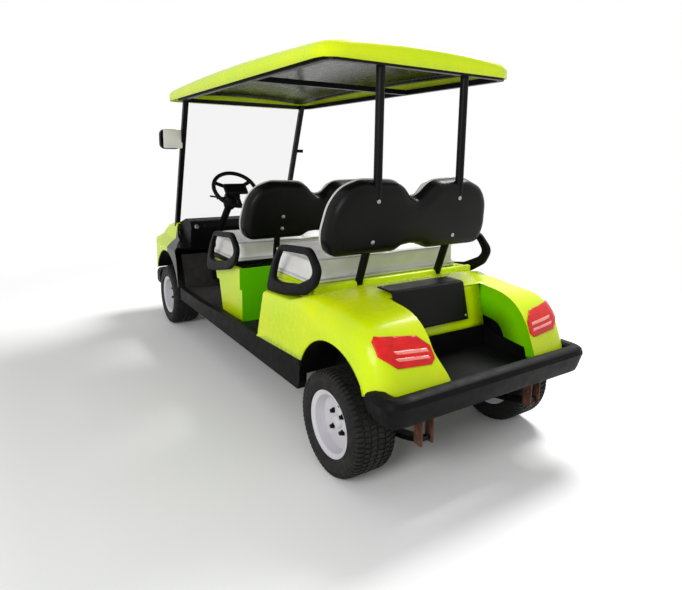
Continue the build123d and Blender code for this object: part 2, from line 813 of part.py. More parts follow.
spring_low = axle_z + beam_h / 2 + touch
leaf_springs_at = (
    # half-track, front eye, rear eye, axle place, height at the eyes, height at the axle
    (front_spring_x, -1560.0, -920.0, front_axle_y, 296.0, spring_low),
    (spring_x, 880.0, 1540.0, rear_axle_y, 238.0, 172.0),
)
with BuildPart() as leaf_springs:
    for at_x, eye_front, eye_back, axle_y, eye_z, mid_z in leaf_springs_at:
        with BuildSketch(side_plane(at_x - leaf_w / 2)):
            with BuildLine():
                low = ThreePointArc((eye_front, eye_z), (axle_y, mid_z), (eye_back, eye_z))
                high = ThreePointArc(
                    (eye_back, eye_z + leaf_t), (axle_y, mid_z + leaf_t), (eye_front, eye_z + leaf_t)
                )
                Line(low @ 1, high @ 0)
                Line(high @ 1, low @ 0)
            make_face()
        extrude(amount=leaf_w)
    mirror(about=Plane.YZ)
    add(chassis_frame.part, mode=Mode.SUBTRACT)
leaf_springs.part.label = "leaf_springs"
export_step(leaf_springs.part, "parts/leaf_springs.step")

sides = (("left", 1), ("right", -1))
hub_face = front_tyre_out - rim_recess - wheel_hub_in
for side, sx in sides:
    with BuildPart() as knuckle:
        with Locations((sx * kingpin_x, front_axle_y, axle_z)):
            Cylinder(kingpin_r - fit, beam_h + 40)
            with Locations((0, 0, beam_h / 2 + 14), (0, 0, -beam_h / 2 - 14)):
                Cylinder(24, 18)
                with Locations((sx * 20, 0, 0)):
                    Box(40, 48, 18)
        with Locations((sx * (kingpin_x + 35), front_axle_y, axle_z)):
            Box(14, 48, beam_h + 46)
        with Locations((sx * (kingpin_x + 42 + (hub_face - 6 - kingpin_x - 42) / 2), front_axle_y, axle_z)):
            with Locations(Rotation(0, 90, 0)):
                Cylinder(30, hub_face - 6 - kingpin_x - 42)
        with Locations((sx * (kingpin_x + 42 + (hub_face + 20 - kingpin_x - 42) / 2), front_axle_y, axle_z)):
            with Locations(Rotation(0, 90, 0)):
                Cylinder(spindle_r - fit, hub_face + 20 - kingpin_x - 42)
        # steering arm, reaching back and inwards
        with BuildSketch(Plane.XY.offset(axle_z - beam_h / 2 - 23)):
            with BuildLine():
                Polyline(
                    (sx * (kingpin_x + 12), front_axle_y + 18),
                    (sx * (kingpin_x - 22), front_axle_y),
                    (sx * (kingpin_x - arm_dx - 12), front_axle_y + arm_dy - 8),
                    (sx * (kingpin_x - arm_dx + 8), front_axle_y + arm_dy + 10), close=True,
                )
            make_face()
            with Locations((sx * (kingpin_x - arm_dx), front_axle_y + arm_dy)):
                Circle(14)
        extrude(amount=14)
    knuckle.part.label = f"knuckle_{side}"
    export_step(knuckle.part, f"parts/knuckle_{side}.step")

with BuildPart() as tie_rods:
    with Locations((0, front_axle_y + arm_dy, rack_z)):
        with Locations(Rotation(0, 90, 0)):
            Cylinder(rack_r, 2 * (kingpin_x - arm_dx))
    for sx in (1, -1):
        with Locations((sx * (kingpin_x - arm_dx), front_axle_y + arm_dy, rack_z)):
            Sphere(15)
        with Locations((sx * (kingpin_x - arm_dx), front_axle_y + arm_dy, arm_top + 0.5 + 12)):
            Cylinder(7, 24)
tie_rods.part.label = "tie_rods"
export_step(tie_rods.part, "parts/tie_rods.step")

# steering wheel and its column
wheel_at = (240.0, -610.0, 1097.0)
wheel_dia = 336.0
grip_r = 14.0
column_tilt = 45.0
ct = math.radians(column_tilt)
column_dir = (0.0, math.sin(ct), math.cos(ct))

wheel_plane = Plane(origin=wheel_at, x_dir=(1, 0, 0), z_dir=column_dir)
with BuildPart() as steering_wheel:
    with BuildSketch(Plane(origin=wheel_at, x_dir=(1, 0, 0), z_dir=(0, -column_dir[2], column_dir[1]))):
        with Locations((wheel_dia / 2 - grip_r, 0)):
            Circle(grip_r)
    revolve(axis=Axis(origin=wheel_at, direction=column_dir))
    with BuildSketch(wheel_plane.offset(-34)):
        Circle(44)
    extrude(amount=34)
    with BuildSketch(wheel_plane.offset(-16)):
        for turn in (0, 120, 240):
            with Locations(Rotation(0, 0, turn + 90)):
                with Locations((88, 0)):
                    Rectangle(130, 26)
    extrude(amount=10)
    with BuildSketch(wheel_plane.offset(-60)):
        Circle(16)
    extrude(amount=28)
steering_wheel.part.label = "steering_wheel"
export_step(steering_wheel.part, "parts/steering_wheel.step")

with BuildPart() as steering_column:
    with BuildSketch(wheel_plane.offset(-60 - touch)):
        Circle(26)
    extrude(amount=-450)
    with BuildSketch(wheel_plane.offset(-84)):
        with Locations((60, 0)):
            Rectangle(110, 12)
    extrude(amount=-12)
    add(dashboard.part, mode=Mode.SUBTRACT)
steering_column.part.label = "steering_column"
export_step(steering_column.part, "parts/steering_column.step")

toe_slope = math.atan2(toe_top_z - floor_z, toe_top_y - floor_front)
with BuildPart() as pedals:
    for x, w in ((300, 60), (195, 90)):
        toe_plane = Plane(
            origin=(x, (floor_front + toe_top_y) / 2 + 16, (floor_z + toe_top_z) / 2 - 40),
            x_dir=(1, 0, 0),
            z_dir=(0, math.sin(toe_slope), -math.cos(toe_slope)),
        )
        with BuildSketch(toe_plane):
            Rectangle(22, 22)
        extrude(amount=60)
        with BuildSketch(toe_plane.offset(60)):
            RectangleRounded(w, 110, 8)
        extrude(amount=10)
    add(floor_pan.part, mode=Mode.SUBTRACT)
pedals.part.label = "pedals"
export_step(pedals.part, "parts/pedals.step")

bumper_t = 46.0
with BuildPart() as bumpers:
    with BuildSketch(Plane.XY.offset(372)):
        with Locations((0, 1640 - 300)):
            RectangleRounded(2 * 588, 600, 110)
        with Locations((0, 1180)):
            Rectangle(1400, 600, mode=Mode.SUBTRACT)
    extrude(amount=112)
    # slanted top
    with BuildSketch(side_plane(-700)):
        with BuildLine():
            Polyline((1600, 484), (1700, 448), (1700, 500), (1600, 500), close=True)
        make_face()
    extrude(amount=1400, mode=Mode.SUBTRACT)
    with BuildSketch(Plane.XY.offset(360)):
        with Locations((0, 900)):
            RectangleRounded(2 * (body_half_w + touch), 1320 + 2 * touch, 86)
        with Locations((0, 1400)):
            Rectangle(900, 260)
    extrude(amount=100, mode=Mode.SUBTRACT)
    add(rear_outer.part, mode=Mode.SUBTRACT)
    # front bumper
    with BuildSketch(Plane.XY.offset(250)):
        with Locations((0, front_end + 350)):
            RectangleRounded(2 * 572, 700, 150)
            RectangleRounded(2 * (572 - bumper_t), 700 - 2 * bumper_t, 110, mode=Mode.SUBTRACT)
        with Locations((0, front_end + 520)):
            Rectangle(1300, 740, mode=Mode.SUBTRACT)
    extrude(amount=150 - touch)
bumpers.part.label = "bumpers"
export_step(bumpers.part, "parts/bumpers.step")

with BuildPart() as headlamps:
    with BuildSketch(rear_plane(-1400)):
        with Locations((400, 545)):
            RectangleRounded(200, 90, 30)
    extrude(amount=218)
    add(front_cowl.part, mode=Mode.SUBTRACT)
    with BuildSketch(rear_plane(-1400)):
        with Locations((400, 545)):
            Rectangle(300, 200)
    extrude(amount=170, mode=Mode.SUBTRACT)
    mirror(about=Plane.YZ)
headlamps.part.label = "headlamps"
export_step(headlamps.part, "parts/headlamps.step")

# ---------------------------------------------------------------- wheels
corners = (
    # name, side, axle place, outer face of the tyre
    ("front_left", 1, front_axle_y, front_tyre_out),
    ("front_right", -1, front_axle_y, front_tyre_out),
    ("rear_left", 1, rear_axle_y, rear_tyre_out),
    ("rear_right", -1, rear_axle_y, rear_tyre_out),
)
for corner, sx, axle_y, tyre_out in corners:
    wheel_axis = Axis(origin=(0, axle_y, axle_z), direction=(1, 0, 0))
    tyre_plane = Plane(origin=(sx * (tyre_out - tyre_w / 2), axle_y, axle_z), x_dir=(sx, 0, 0), z_dir=(0, -sx, 0))
    with BuildPart() as tyre:
        with BuildSketch(tyre_plane):
            with BuildLine():
                half = tyre_w / 2
                tread = Line((-half + 26, tyre_r), (half - 26, tyre_r))
                outer = ThreePointArc((half - 26, tyre_r), (half - 7, tyre_r - 9), (half - 1, tyre_r - 30))
                Polyline(
                    outer @ 1, (half, tyre_r - 50), (half - 8, 146), (half - 13, 146),
                    (half - 21.6, 128.3), (-half + 22.6, 128.3), (-half + 14.1, 146),
                    (-half + 8, 146), (-half, tyre_r - 50), (-half + 1, tyre_r - 30),
                )
                ThreePointArc((-half + 1, tyre_r - 30), (-half + 7, tyre_r - 9), (-half + 26, tyre_r))
            make_face()
        revolve(axis=wheel_axis)
    tyre.part.label = f"tyre_{corner}"
    export_step(tyre.part, f"parts/tyre_{corner}.step")

    rim_plane = Plane(origin=(sx * (tyre_out - rim_recess), axle_y, axle_z), x_dir=(-sx, 0, 0), z_dir=(0, sx, 0))
    with BuildPart() as rim:
        with BuildSketch(rim_plane):
            with BuildLine():
                Polyline(
                    (-1, rim_lip_r), (-1, rim_lip_r - 5), (8, 124), (54, 119), (56, 64), (48, 50),
                    (48, 0), (65, 0), (65, spindle_r), (wheel_hub_in, spindle_r),
                    (wheel_hub_in, 38), (60, 42), (60, 66), (62, 114), (176, 118), (183, 140),
                    (183, 145), (180.5, 145), (172, 128), (10, 128), (1.5, 145), close=True,
                )
            make_face()
        revolve(axis=wheel_axis)
        with Locations((sx * (tyre_out - rim_recess - 54), axle_y, axle_z)):
            with Locations(Rotation(0, 90, 0)):
                with PolarLocations(50.8, 4, start_angle=45):
                    Cylinder(6.5, 40, mode=Mode.SUBTRACT)
    rim.part.label = f"rim_{corner}"
    export_step(rim.part, f"parts/rim_{corner}.step")
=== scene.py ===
import bpy
import bmesh
import json
import math
from mathutils import Matrix, Vector, bvhtree


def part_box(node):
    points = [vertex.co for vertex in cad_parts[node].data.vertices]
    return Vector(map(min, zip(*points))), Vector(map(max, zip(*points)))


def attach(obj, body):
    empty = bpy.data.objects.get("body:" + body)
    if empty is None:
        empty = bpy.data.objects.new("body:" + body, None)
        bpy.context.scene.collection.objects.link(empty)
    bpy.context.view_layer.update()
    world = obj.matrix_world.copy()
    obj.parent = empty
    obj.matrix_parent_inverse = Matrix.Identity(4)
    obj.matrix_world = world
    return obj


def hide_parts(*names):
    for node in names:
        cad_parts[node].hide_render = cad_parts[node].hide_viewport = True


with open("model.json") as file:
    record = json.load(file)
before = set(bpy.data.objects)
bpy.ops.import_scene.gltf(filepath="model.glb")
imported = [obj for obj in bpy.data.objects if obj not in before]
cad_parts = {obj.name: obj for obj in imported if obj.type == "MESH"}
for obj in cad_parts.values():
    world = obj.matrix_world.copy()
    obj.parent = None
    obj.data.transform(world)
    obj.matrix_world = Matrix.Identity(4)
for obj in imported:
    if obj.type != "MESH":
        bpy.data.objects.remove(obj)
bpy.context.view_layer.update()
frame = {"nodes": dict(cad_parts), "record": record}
nodes = frame["nodes"]
scene = bpy.context.scene

# ---- stations, metres
rear_axle_y = 1.210
front_axle_y = -1.240
axle_z = 0.229
tyre_r = 0.229
tyre_w = 0.205
tyre_out = {"rear": 0.590, "front": 0.575}
both_sides = (("left", 1), ("right", -1))


# ---- material helpers
def tree_of(name):
    """New material with its node tree, its shader and a place in the object's own axes."""
    material = bpy.data.materials.new(name)
    material.use_nodes = True
    tree = material.node_tree
    place = tree.nodes.new("ShaderNodeTexCoord")
    return material, tree, tree.nodes["Principled BSDF"], place.outputs["Object"]


def given(node, **values):
    """Set a node's inputs by name, with underscores for spaces."""
    for name, value in values.items():
        node.inputs[name.replace("_", " ")].default_value = value
    return node


def noise(tree, place, scale, detail=3.0, rough=0.5):
    node = given(tree.nodes.new("ShaderNodeTexNoise"), Scale=scale, Detail=detail, Roughness=rough)
    tree.links.new(place, node.inputs["Vector"])
    return node.outputs["Fac"]


def cells(tree, place, scale):
    node = given(tree.nodes.new("ShaderNodeTexVoronoi"), Scale=scale)
    tree.links.new(place, node.inputs["Vector"])
    return node.outputs["Distance"]


def ribbed(tree, place, direction, scale):
    """Straight ribs that follow one another along an axis."""
    node = given(tree.nodes.new("ShaderNodeTexWave"), Scale=scale)
    node.bands_direction = direction
    tree.links.new(place, node.inputs["Vector"])
    return node.outputs["Fac"]


def ramp(tree, value, stops):
    node = tree.nodes.new("ShaderNodeValToRGB")
    band = node.color_ramp
    while len(band.elements) < len(stops):
        band.elements.new(0.5)
    for element, (at, colour) in zip(band.elements, stops):
        element.position = at
        element.color = colour if len(colour) == 4 else (*colour, 1.0)
    tree.links.new(value, node.inputs["Fac"])
    return node.outputs["Color"]


def spread(tree, value, low, high, from_low=0.3, from_high=0.7):
    node = given(tree.nodes.new("ShaderNodeMapRange"), From_Min=from_low, From_Max=from_high,
                 To_Min=low, To_Max=high)
    tree.links.new(value, node.inputs["Value"])
    return node.outputs["Result"]


def bump(tree, shader, height, depth, under=None):
    node = given(tree.nodes.new("ShaderNodeBump"), Distance=depth, Strength=1.0)
    tree.links.new(height, node.inputs["Height"])
    if under:
        tree.links.new(under, node.inputs["Normal"])
    tree.links.new(node.outputs["Normal"], shader.inputs["Normal"])
    return node.outputs["Normal"]


def toned(tree, shader, place, scale, detail, rough, stops):
    """Base colour that drifts between tones."""
    tree.links.new(ramp(tree, noise(tree, place, scale, detail, rough), stops), shader.inputs["Base Color"])


def glossed(tree, shader, place, scale, detail, low, high):
    """Roughness that drifts between two values."""
    tree.links.new(spread(tree, noise(tree, place, scale, detail), low, high), shader.inputs["Roughness"])


def mixed(tree, share, first, second):
    """Blend two colours, or a colour and a socket, by a share."""
    node = tree.nodes.new("ShaderNodeMix")
    node.data_type = "RGBA"
    tree.links.new(share, node.inputs["Factor"])
    for socket, colour in ((node.inputs[6], first), (node.inputs[7], second)):
        if isinstance(colour, tuple):
            socket.default_value = (*colour, 1.0)
        else:
            tree.links.new(colour, socket)
    return node.outputs[2]


def parted(tree, vector, axis, start, end):
    """Share that goes from 0 to 1 along one axis of a vector."""
    node = tree.nodes.new("ShaderNodeSeparateXYZ")
    tree.links.new(vector, node.inputs[0])
    return spread(tree, node.outputs[axis], 0.0, 1.0, start, end)


def painted(name, tones, rough, grain=0.0, grain_scale=900.0, coat=0.0, metal=0.0, patch=4.0, wave=0.0,
            gloss=0.5, second=None, dust=None):
    """Solid colour finish: drifting tone, drifting gloss, fine surface grain.

    second is (colour, by normal or by place, axis, start, end); dust greys the low parts.
    """
    material, tree, shader, place = tree_of(name)
    broad = noise(tree, place, patch, 4.0)
    colour = ramp(tree, broad, [(0.35, tones[0]), (0.65, tones[1])])
    if second:
        tone, by_normal, axis, start, end = second
        vector = tree.nodes.new("ShaderNodeNewGeometry").outputs["True Normal"] if by_normal else place
        colour = mixed(tree, parted(tree, vector, axis, start, end), colour, tone)
    if dust:
        low = parted(tree, place, "Z", 0.62, 0.22)
        speck = spread(tree, noise(tree, place, 26.0, 8.0, 0.7), 0.0, 0.55, 0.45, 0.75)
        both = tree.nodes.new("ShaderNodeMath")
        both.operation = "MULTIPLY"
        tree.links.new(low, both.inputs[0])
        tree.links.new(speck, both.inputs[1])
        colour = mixed(tree, both.outputs["Value"], colour, dust)
    tree.links.new(colour, shader.inputs["Base Color"])
    given(shader, Specular_IOR_Level=gloss, Metallic=metal, Coat_Weight=coat, Coat_Roughness=0.08)
    drift = noise(tree, place, patch * 6.0, 5.0, 0.6)
    tree.links.new(spread(tree, drift, rough[0], rough[1]), shader.inputs["Roughness"])
    under = None
    if wave:
        under = bump(tree, shader, noise(tree, place, 7.0, 2.0), wave)
    if grain:
        bump(tree, shader, noise(tree, place, grain_scale, 2.0), grain, under)
    return material


lime_tones = [(0.56, 0.76, 0.0), (0.66, 0.78, 0.0)]
black = [(0.0018, 0.0018, 0.002), (0.0045, 0.0045, 0.005)]
grime = (0.014, 0.012, 0.010)
lime = painted("lime_gelcoat", lime_tones, (0.20, 0.34), 0.00003, 1400, 0.12, wave=0.0006, gloss=0.22)
lime_roof = painted("lime_canopy_shell", lime_tones, (0.22, 0.36), 0.00003, 1400, 0.10, wave=0.0006,
                    gloss=0.22, second=((0.012, 0.014, 0.006), True, "Z", -0.1, -0.35))
# seat box lime: faces that look rearwards turn a greener tone, which is painted shade
lime_box_painted_shade = painted("lime_seat_box_painted_shade", [(0.50, 0.72, 0.0), (0.60, 0.74, 0.0)], (0.25, 0.40), 0.00003, 1400, 0.08,
                   wave=0.0006, gloss=0.2, second=((0.10, 0.50, 0.0), True, "Y", 0.45, 0.80))
# greener lime for the bag well's inner side walls: painted shade
lime_painted_shade = painted("lime_inner_wall_painted_shade", [(0.14, 0.56, 0.0), (0.20, 0.60, 0.0)], (0.22, 0.36), 0.00003,
                     1400, 0.10, wave=0.0006, gloss=0.2)
cowl_skin = painted("cowl_lime_with_black_foot", lime_tones, (0.20, 0.34), 0.00003, 1400, 0.10, wave=0.0006,
                    gloss=0.22, second=((0.005, 0.005, 0.0055), False, "Y", -1.205, -1.197))
black_trim = painted("black_grained_moulding", black, (0.42, 0.58), 0.00018, 700, gloss=0.07, dust=grime)
black_shell = painted("black_seat_shell", [(0.002, 0.002, 0.002), (0.005, 0.0045, 0.0045)], (0.30, 0.42),
                      0.00006, 500, gloss=0.12)
black_steel = painted("black_powder_coat", black, (0.32, 0.45), 0.00006, 1200, gloss=0.10)
rim_paint = painted("white_wheel_enamel", [(0.62, 0.61, 0.64), (0.52, 0.51, 0.54)], (0.25, 0.42), 0.00004,
                    700, 0.15, gloss=0.3)
mirror_cream = painted("cream_mirror_face", [(0.60, 0.58, 0.50), (0.70, 0.68, 0.60)], (0.12, 0.25), 0.00002,
                       900)
bolt_zinc = painted("zinc_bolt", [(0.30, 0.30, 0.31), (0.42, 0.42, 0.43)], (0.25, 0.40), 0.00003, 1500,
                    metal=0.8)
edge_grey = painted("grey_piping_vinyl", [(0.46, 0.455, 0.45), (0.56, 0.555, 0.54)], (0.38, 0.52), 0.0002,
                    500)

rust, tree, shader, place = tree_of("rusted_plate")
toned(tree, shader, place, 45.0, 8.0, 0.7,
      [(0.30, (0.012, 0.008, 0.006)), (0.52, (0.075, 0.026, 0.012)), (0.72, (0.17, 0.065, 0.03))])
given(shader, Roughness=0.82)
bump(tree, shader, noise(tree, place, 260.0, 6.0, 0.7), 0.0008)

rubber, tree, shader, place = tree_of("tyre_rubber")
toned(tree, shader, place, 18.0, 6.0, 0.65, [(0.35, (0.005, 0.005, 0.005)), (0.70, (0.018, 0.017, 0.016))])
given(shader, Specular_IOR_Level=0.2)
glossed(tree, shader, place, 40.0, 5.0, 0.55, 0.80)
bump(tree, shader, noise(tree, place, 620.0, 3.0), 0.00025)

mat, tree, shader, place = tree_of("floor_rubber_mat")
toned(tree, shader, place, 9.0, 6.0, 0.7, [(0.35, (0.006, 0.006, 0.006)), (0.70, (0.024, 0.021, 0.019))])
given(shader, Specular_IOR_Level=0.2, Roughness=0.72)
bump(tree, shader, ribbed(tree, place, "X", 26.0), 0.0012)

vinyl, tree, shader, place = tree_of("white_grained_vinyl")
toned(tree, shader, place, 6.0, 5.0, 0.5, [(0.35, (0.66, 0.65, 0.63)), (0.68, (0.76, 0.755, 0.74))])
glossed(tree, shader, place, 22.0, 4.0, 0.36, 0.52)
folds = bump(tree, shader, noise(tree, place, 16.0, 3.0, 0.6), 0.0022)
bump(tree, shader, cells(tree, place, 420.0), 0.00035, folds)

clear, tree, shader, place = tree_of("clear_acrylic_sheet")
given(shader, Base_Color=(0.90, 0.905, 0.90, 1.0), Transmission_Weight=1.0, IOR=1.08)
glossed(tree, shader, place, 5.0, 5.0, 0.0, 0.09)

red_lens, tree, shader, place = tree_of("red_lamp_lens")
toned(tree, shader, place, 30.0, 3.0, 0.5, [(0.35, (0.56, 0.002, 0.002)), (0.65, (0.72, 0.005, 0.003))])
given(shader, Roughness=0.22, Specular_IOR_Level=0.25, Coat_Weight=0.15)
bump(tree, shader, ribbed(tree, place, "Z", 60.0), 0.0006)

# pale red bars on the tail lamp lenses: the lamp's strips, made paler to stand in for a highlight, so partly
# painted highlight; the charge gauge uses the same finish
lamp_bar_with_painted_highlight = painted("pale_red_lamp_bar_with_painted_highlight", [(0.86, 0.20, 0.16), (0.92, 0.34, 0.28)], (0.15, 0.25), 0.0, 100, 0.4)
lamp_clear = painted("headlamp_lens", [(0.55, 0.58, 0.60), (0.68, 0.70, 0.72)], (0.05, 0.12), 0.0, 100, 1.0)
case_black = painted("battery_case", [(0.02, 0.02, 0.022), (0.035, 0.034, 0.034)], (0.45, 0.65), 0.0002, 400)

finishes = {
    "lime_body": lime, "black_plastic": black_trim, "black_steel": black_steel, "bare_steel": rust,
    "white_steel": rim_paint, "rubber": rubber, "floor_mat": mat, "vinyl": vinyl, "clear_screen": clear,
    "red_lens": red_lens, "clear_lens": lamp_clear, "battery_case": case_black,
}
node_finish = {
    "roof_panel": lime_roof, "front_seat_box": lime_box_painted_shade, "front_cowl": cowl_skin,
    "seat_shells": black_shell, "rear_seat_tray": lime,
}
slot_of = {part["node"]: part["material_slot"] for part in frame["record"]["subparts"]}
for name, cad in nodes.items():
    cad.data.materials.clear()
    cad.data.materials.append(node_finish.get(name, finishes[slot_of[name]]))


# ---- piece helpers
def shell_piece(bm, name, body, material, sharp=35.0):
    """Turn a bmesh into a named piece that rides on a body and keeps the facing that it was given."""
    mesh = bpy.data.meshes.new(name)
    bm.to_mesh(mesh)
    bm.free()
    for face in mesh.polygons:
        face.use_smooth = True
    mesh.set_sharp_from_angle(angle=math.radians(sharp))
    mesh.materials.append(material)
    piece = bpy.data.objects.new(name, mesh)
    scene.collection.objects.link(piece)
    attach(piece, body)
    return piece


def piece_of(bm, name, body, material, sharp=35.0):
    """Closed piece, with all its faces turned outwards."""
    bmesh.ops.recalc_face_normals(bm, faces=bm.faces)
    return shell_piece(bm, name, body, material, sharp)


def axes_from(at, out, up=(0.0, 0.0, 1.0)):
    """Matrix that stands a shape at a place with its local Z pointing outwards."""
    z = Vector(out).normalized()
    x = Vector(up).cross(z)
    if x.length < 1e-4:
        x = Vector((1.0, 0.0, 0.0))
    x.normalize()
    y = z.cross(x)
    return Matrix.Translation(at) @ Matrix((x, y, z)).transposed().to_4x4()


def slab(bm, size, matrix, edge, steps=2):
    """Rounded block, sized in its own axes."""
    made = bmesh.ops.create_cube(bm, size=1.0)["verts"]
    bmesh.ops.scale(bm, vec=size, verts=made)
    edges = {e for v in made for e in v.link_edges}
    bevelled = bmesh.ops.bevel(
        bm, geom=list(edges), offset=edge, segments=steps, affect="EDGES", profile=0.5, material=-1)
    whole = {v for f in bevelled["faces"] for v in f.verts}
    bmesh.ops.transform(bm, matrix=matrix, verts=list(whole))


def drum(bm, rings, matrix, segments=24):
    """Turned shape: rings are (radius, height) pairs from the base to the crown."""
    base = bmesh.ops.create_circle(bm, cap_ends=True, radius=rings[0][0], segments=segments)["verts"]
    bmesh.ops.translate(bm, vec=(0.0, 0.0, rings[0][1]), verts=base)
    made = list(base)
    cap = [f for f in base[0].link_faces][0]
    for (r0, z0), (r1, z1) in zip(rings, rings[1:]):
        grown = bmesh.ops.extrude_discrete_faces(bm, faces=[cap])["faces"][0]
        made += list(grown.verts)
        bmesh.ops.translate(bm, vec=(0.0, 0.0, z1 - z0), verts=list(grown.verts))
        bmesh.ops.scale(bm, vec=(r1 / r0, r1 / r0, 1.0), verts=list(grown.verts))
        cap = grown
    bmesh.ops.transform(bm, matrix=matrix, verts=made)


def merged_copy(node, keep=None):
    """Bmesh copy of a CAD node with its loose triangles joined, cut down to the wanted half."""
    bm = bmesh.new()
    bm.from_mesh(nodes[node].data)
    bmesh.ops.remove_doubles(bm, verts=bm.verts, dist=1e-5)
    if keep:
        bmesh.ops.delete(bm, geom=[v for v in bm.verts if not keep(v.co)], context="VERTS")
    return bm


def tube(name, points, radius, body, material, closed=False):
    """Round bar along a smooth line."""
    line = bpy.data.curves.new(name, "CURVE")
    line.dimensions = "3D"
    line.bevel_depth = radius
    line.bevel_resolution = 3
    line.use_fill_caps = True
    spline = line.splines.new("NURBS")
    spline.points.add(len(points) - 1)
    for point, at in zip(spline.points, points):
        point.co = (*at, 1.0)
    spline.use_cyclic_u = closed
    spline.use_endpoint_u = not closed
    spline.order_u = 3
    spline.resolution_u = 4
    holder = bpy.data.objects.new(name + "_line", line)
    scene.collection.objects.link(holder)
    mesh = bpy.data.meshes.new_from_object(holder.evaluated_get(bpy.context.evaluated_depsgraph_get()))
    bpy.data.objects.remove(holder)
    bm = bmesh.new()
    bm.from_mesh(mesh)
    bpy.data.meshes.remove(mesh)
    bmesh.ops.remove_doubles(bm, verts=bm.verts, dist=1e-6)
    return piece_of(bm, name, body, material, 50.0)


def round_tyre(bm, verts, hub, count):
    """Repeat a block of tread evenly round its tyre."""
    edges = {e for v in verts for e in v.link_edges}
    faces = {f for v in verts for f in v.link_faces}
    bmesh.ops.spin(
        bm, geom=verts + list(edges) + list(faces), cent=hub, axis=(1.0, 0.0, 0.0),
        angle=math.tau * (count - 1) / count, steps=count - 1, use_duplicate=True)


# ---- tyres and wheels
carcass = (
    # across the tyre from its middle, radius
    (-0.0765, 0.2235), (-0.0940, 0.2160), (-0.1005, 0.1990), (-0.1015, 0.1900), (-0.1025, 0.1860),
    (-0.1010, 0.1700), (-0.0975, 0.1560), (-0.0985, 0.1530), (-0.0960, 0.1490), (-0.0884, 0.1462),
    (-0.0799, 0.1290), (0.0799, 0.1290), (0.0884, 0.1462), (0.0960, 0.1490), (0.0985, 0.1530),
    (0.0975, 0.1560), (0.1010, 0.1700), (0.1025, 0.1860), (0.1015, 0.1900), (0.1005, 0.1990),
    (0.0940, 0.2160), (0.0765, 0.2235),
)
tread_rows = (
    # across the tyre, block width, block length round the tyre, blocks round the tyre, skew in degrees
    (-0.0500, 0.0240, 0.0150, 60, 18.0),
    (-0.0170, 0.0270, 0.0190, 60, -20.0),
    (0.0170, 0.0270, 0.0190, 60, 20.0),
    (0.0500, 0.0240, 0.0150, 60, -18.0),
)
shoulder_bar = (
    (0.0660, 0.2290), (0.0790, 0.2285), (0.0935, 0.2210), (0.1010, 0.2020), (0.0960, 0.2000),
    (0.0880, 0.2120), (0.0760, 0.2190), (0.0660, 0.2190),
)
shoulder_bars = 66
nut_circle_r = 0.0508
valve_r = 0.100
wheel_middles = {}
for end, place_y in (("front", front_axle_y), ("rear", rear_axle_y)):
    for side, turn in both_sides:
        wheel_middles[f"{end}_{side}"] = (turn * (tyre_out[end] - tyre_w / 2), place_y, turn)

for corner, (middle_x, middle_y, turn) in wheel_middles.items():
    hub = Vector((middle_x, middle_y, axle_z))
    body = f"wheel_{corner}"
    bm = bmesh.new()
    ring = [bm.verts.new((middle_x + across, middle_y, axle_z + radius)) for across, radius in carcass]
    loop = [bm.edges.new((a, b)) for a, b in zip(ring, ring[1:] + ring[:1])]
    bmesh.ops.spin(
        bm, geom=ring + loop, cent=hub, axis=(1.0, 0.0, 0.0), angle=math.tau, steps=96, use_merge=True)
    piece = piece_of(bm, f"tyre_carcass_{corner}", body, rubber, 40.0)
    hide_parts(f"tyre_{corner}")
    bm = bmesh.new()
    for across, width, length, count, skew in tread_rows:
        made = bmesh.ops.create_cube(bm, size=1.0)["verts"]
        bmesh.ops.scale(bm, vec=(width, length, 0.010), verts=made)
        bmesh.ops.rotate(bm, matrix=Matrix.Rotation(math.radians(skew), 3, "Z"), verts=made)
        bmesh.ops.translate(bm, vec=hub + Vector((across, 0.0, tyre_r - 0.005)), verts=made)
        round_tyre(bm, made, hub, count)
    for hand in (1.0, -1.0):
        start = len(bm.verts)
        rim_of_bar = [
            bm.verts.new(hub + Vector((hand * across, -0.006, radius))) for across, radius in shoulder_bar]
        face = bm.faces.new(rim_of_bar)
        grown = bmesh.ops.extrude_face_region(bm, geom=[face])["geom"]
        bmesh.ops.translate(
            bm, vec=(0.0, 0.012, 0.0), verts=[v for v in grown if isinstance(v, bmesh.types.BMVert)])
        bm.verts.ensure_lookup_table()
        round_tyre(bm, bm.verts[start:], hub, shoulder_bars)
    piece_of(bm, f"tyre_tread_{corner}", body, rubber, 20.0)

    # wheel furniture: lug nuts in their dishes, hub cup, valve
    disc_x = middle_x + turn * (tyre_w / 2 - 0.011 - 0.0475)
    axle_out = (turn, 0.0, 0.0)
    bm = bmesh.new()
    for k in range(4):
        angle = math.radians(45.0 + 90.0 * k)
        at = (disc_x, middle_y + nut_circle_r * math.cos(angle), axle_z + nut_circle_r * math.sin(angle))
        drum(bm, ((0.0135, -0.004), (0.0135, 0.001), (0.0105, 0.0015), (0.0100, 0.013), (0.0075, 0.0155)),
             axes_from(at, axle_out), 6)
    piece_of(bm, f"lug_nuts_{corner}", body, black_steel)
    bm = bmesh.new()
    drum(bm, ((0.030, -0.002), (0.030, 0.003), (0.027, 0.005), (0.0255, 0.009), (0.020, 0.0115),
              (0.008, 0.012)), axes_from((disc_x, middle_y, axle_z), axle_out), 32)
    piece_of(bm, f"hub_cap_{corner}", body, rim_paint)
    bm = bmesh.new()
    round_y, round_z = math.cos(math.radians(62.0)), math.sin(math.radians(62.0))
    valve_at = (disc_x - turn * 0.002, middle_y + valve_r * round_y, axle_z + valve_r * round_z)
    lean = (turn, 0.35 * round_y, 0.35 * round_z)
    drum(bm, ((0.0085, 0.0), (0.0085, 0.004), (0.0055, 0.008), (0.0045, 0.026), (0.0050, 0.027),
              (0.0050, 0.036), (0.0030, 0.037)), axes_from(valve_at, lean), 14)
    piece_of(bm, f"valve_{corner}", body, rubber)


# ---- upholstery
seat_pitch = 0.912
seat_drop = 0.052
rows_at = (("rear", (0.0, 0.0, 0.0)), ("front", (0.0, -seat_pitch, -seat_drop)))
filling_frames = 20


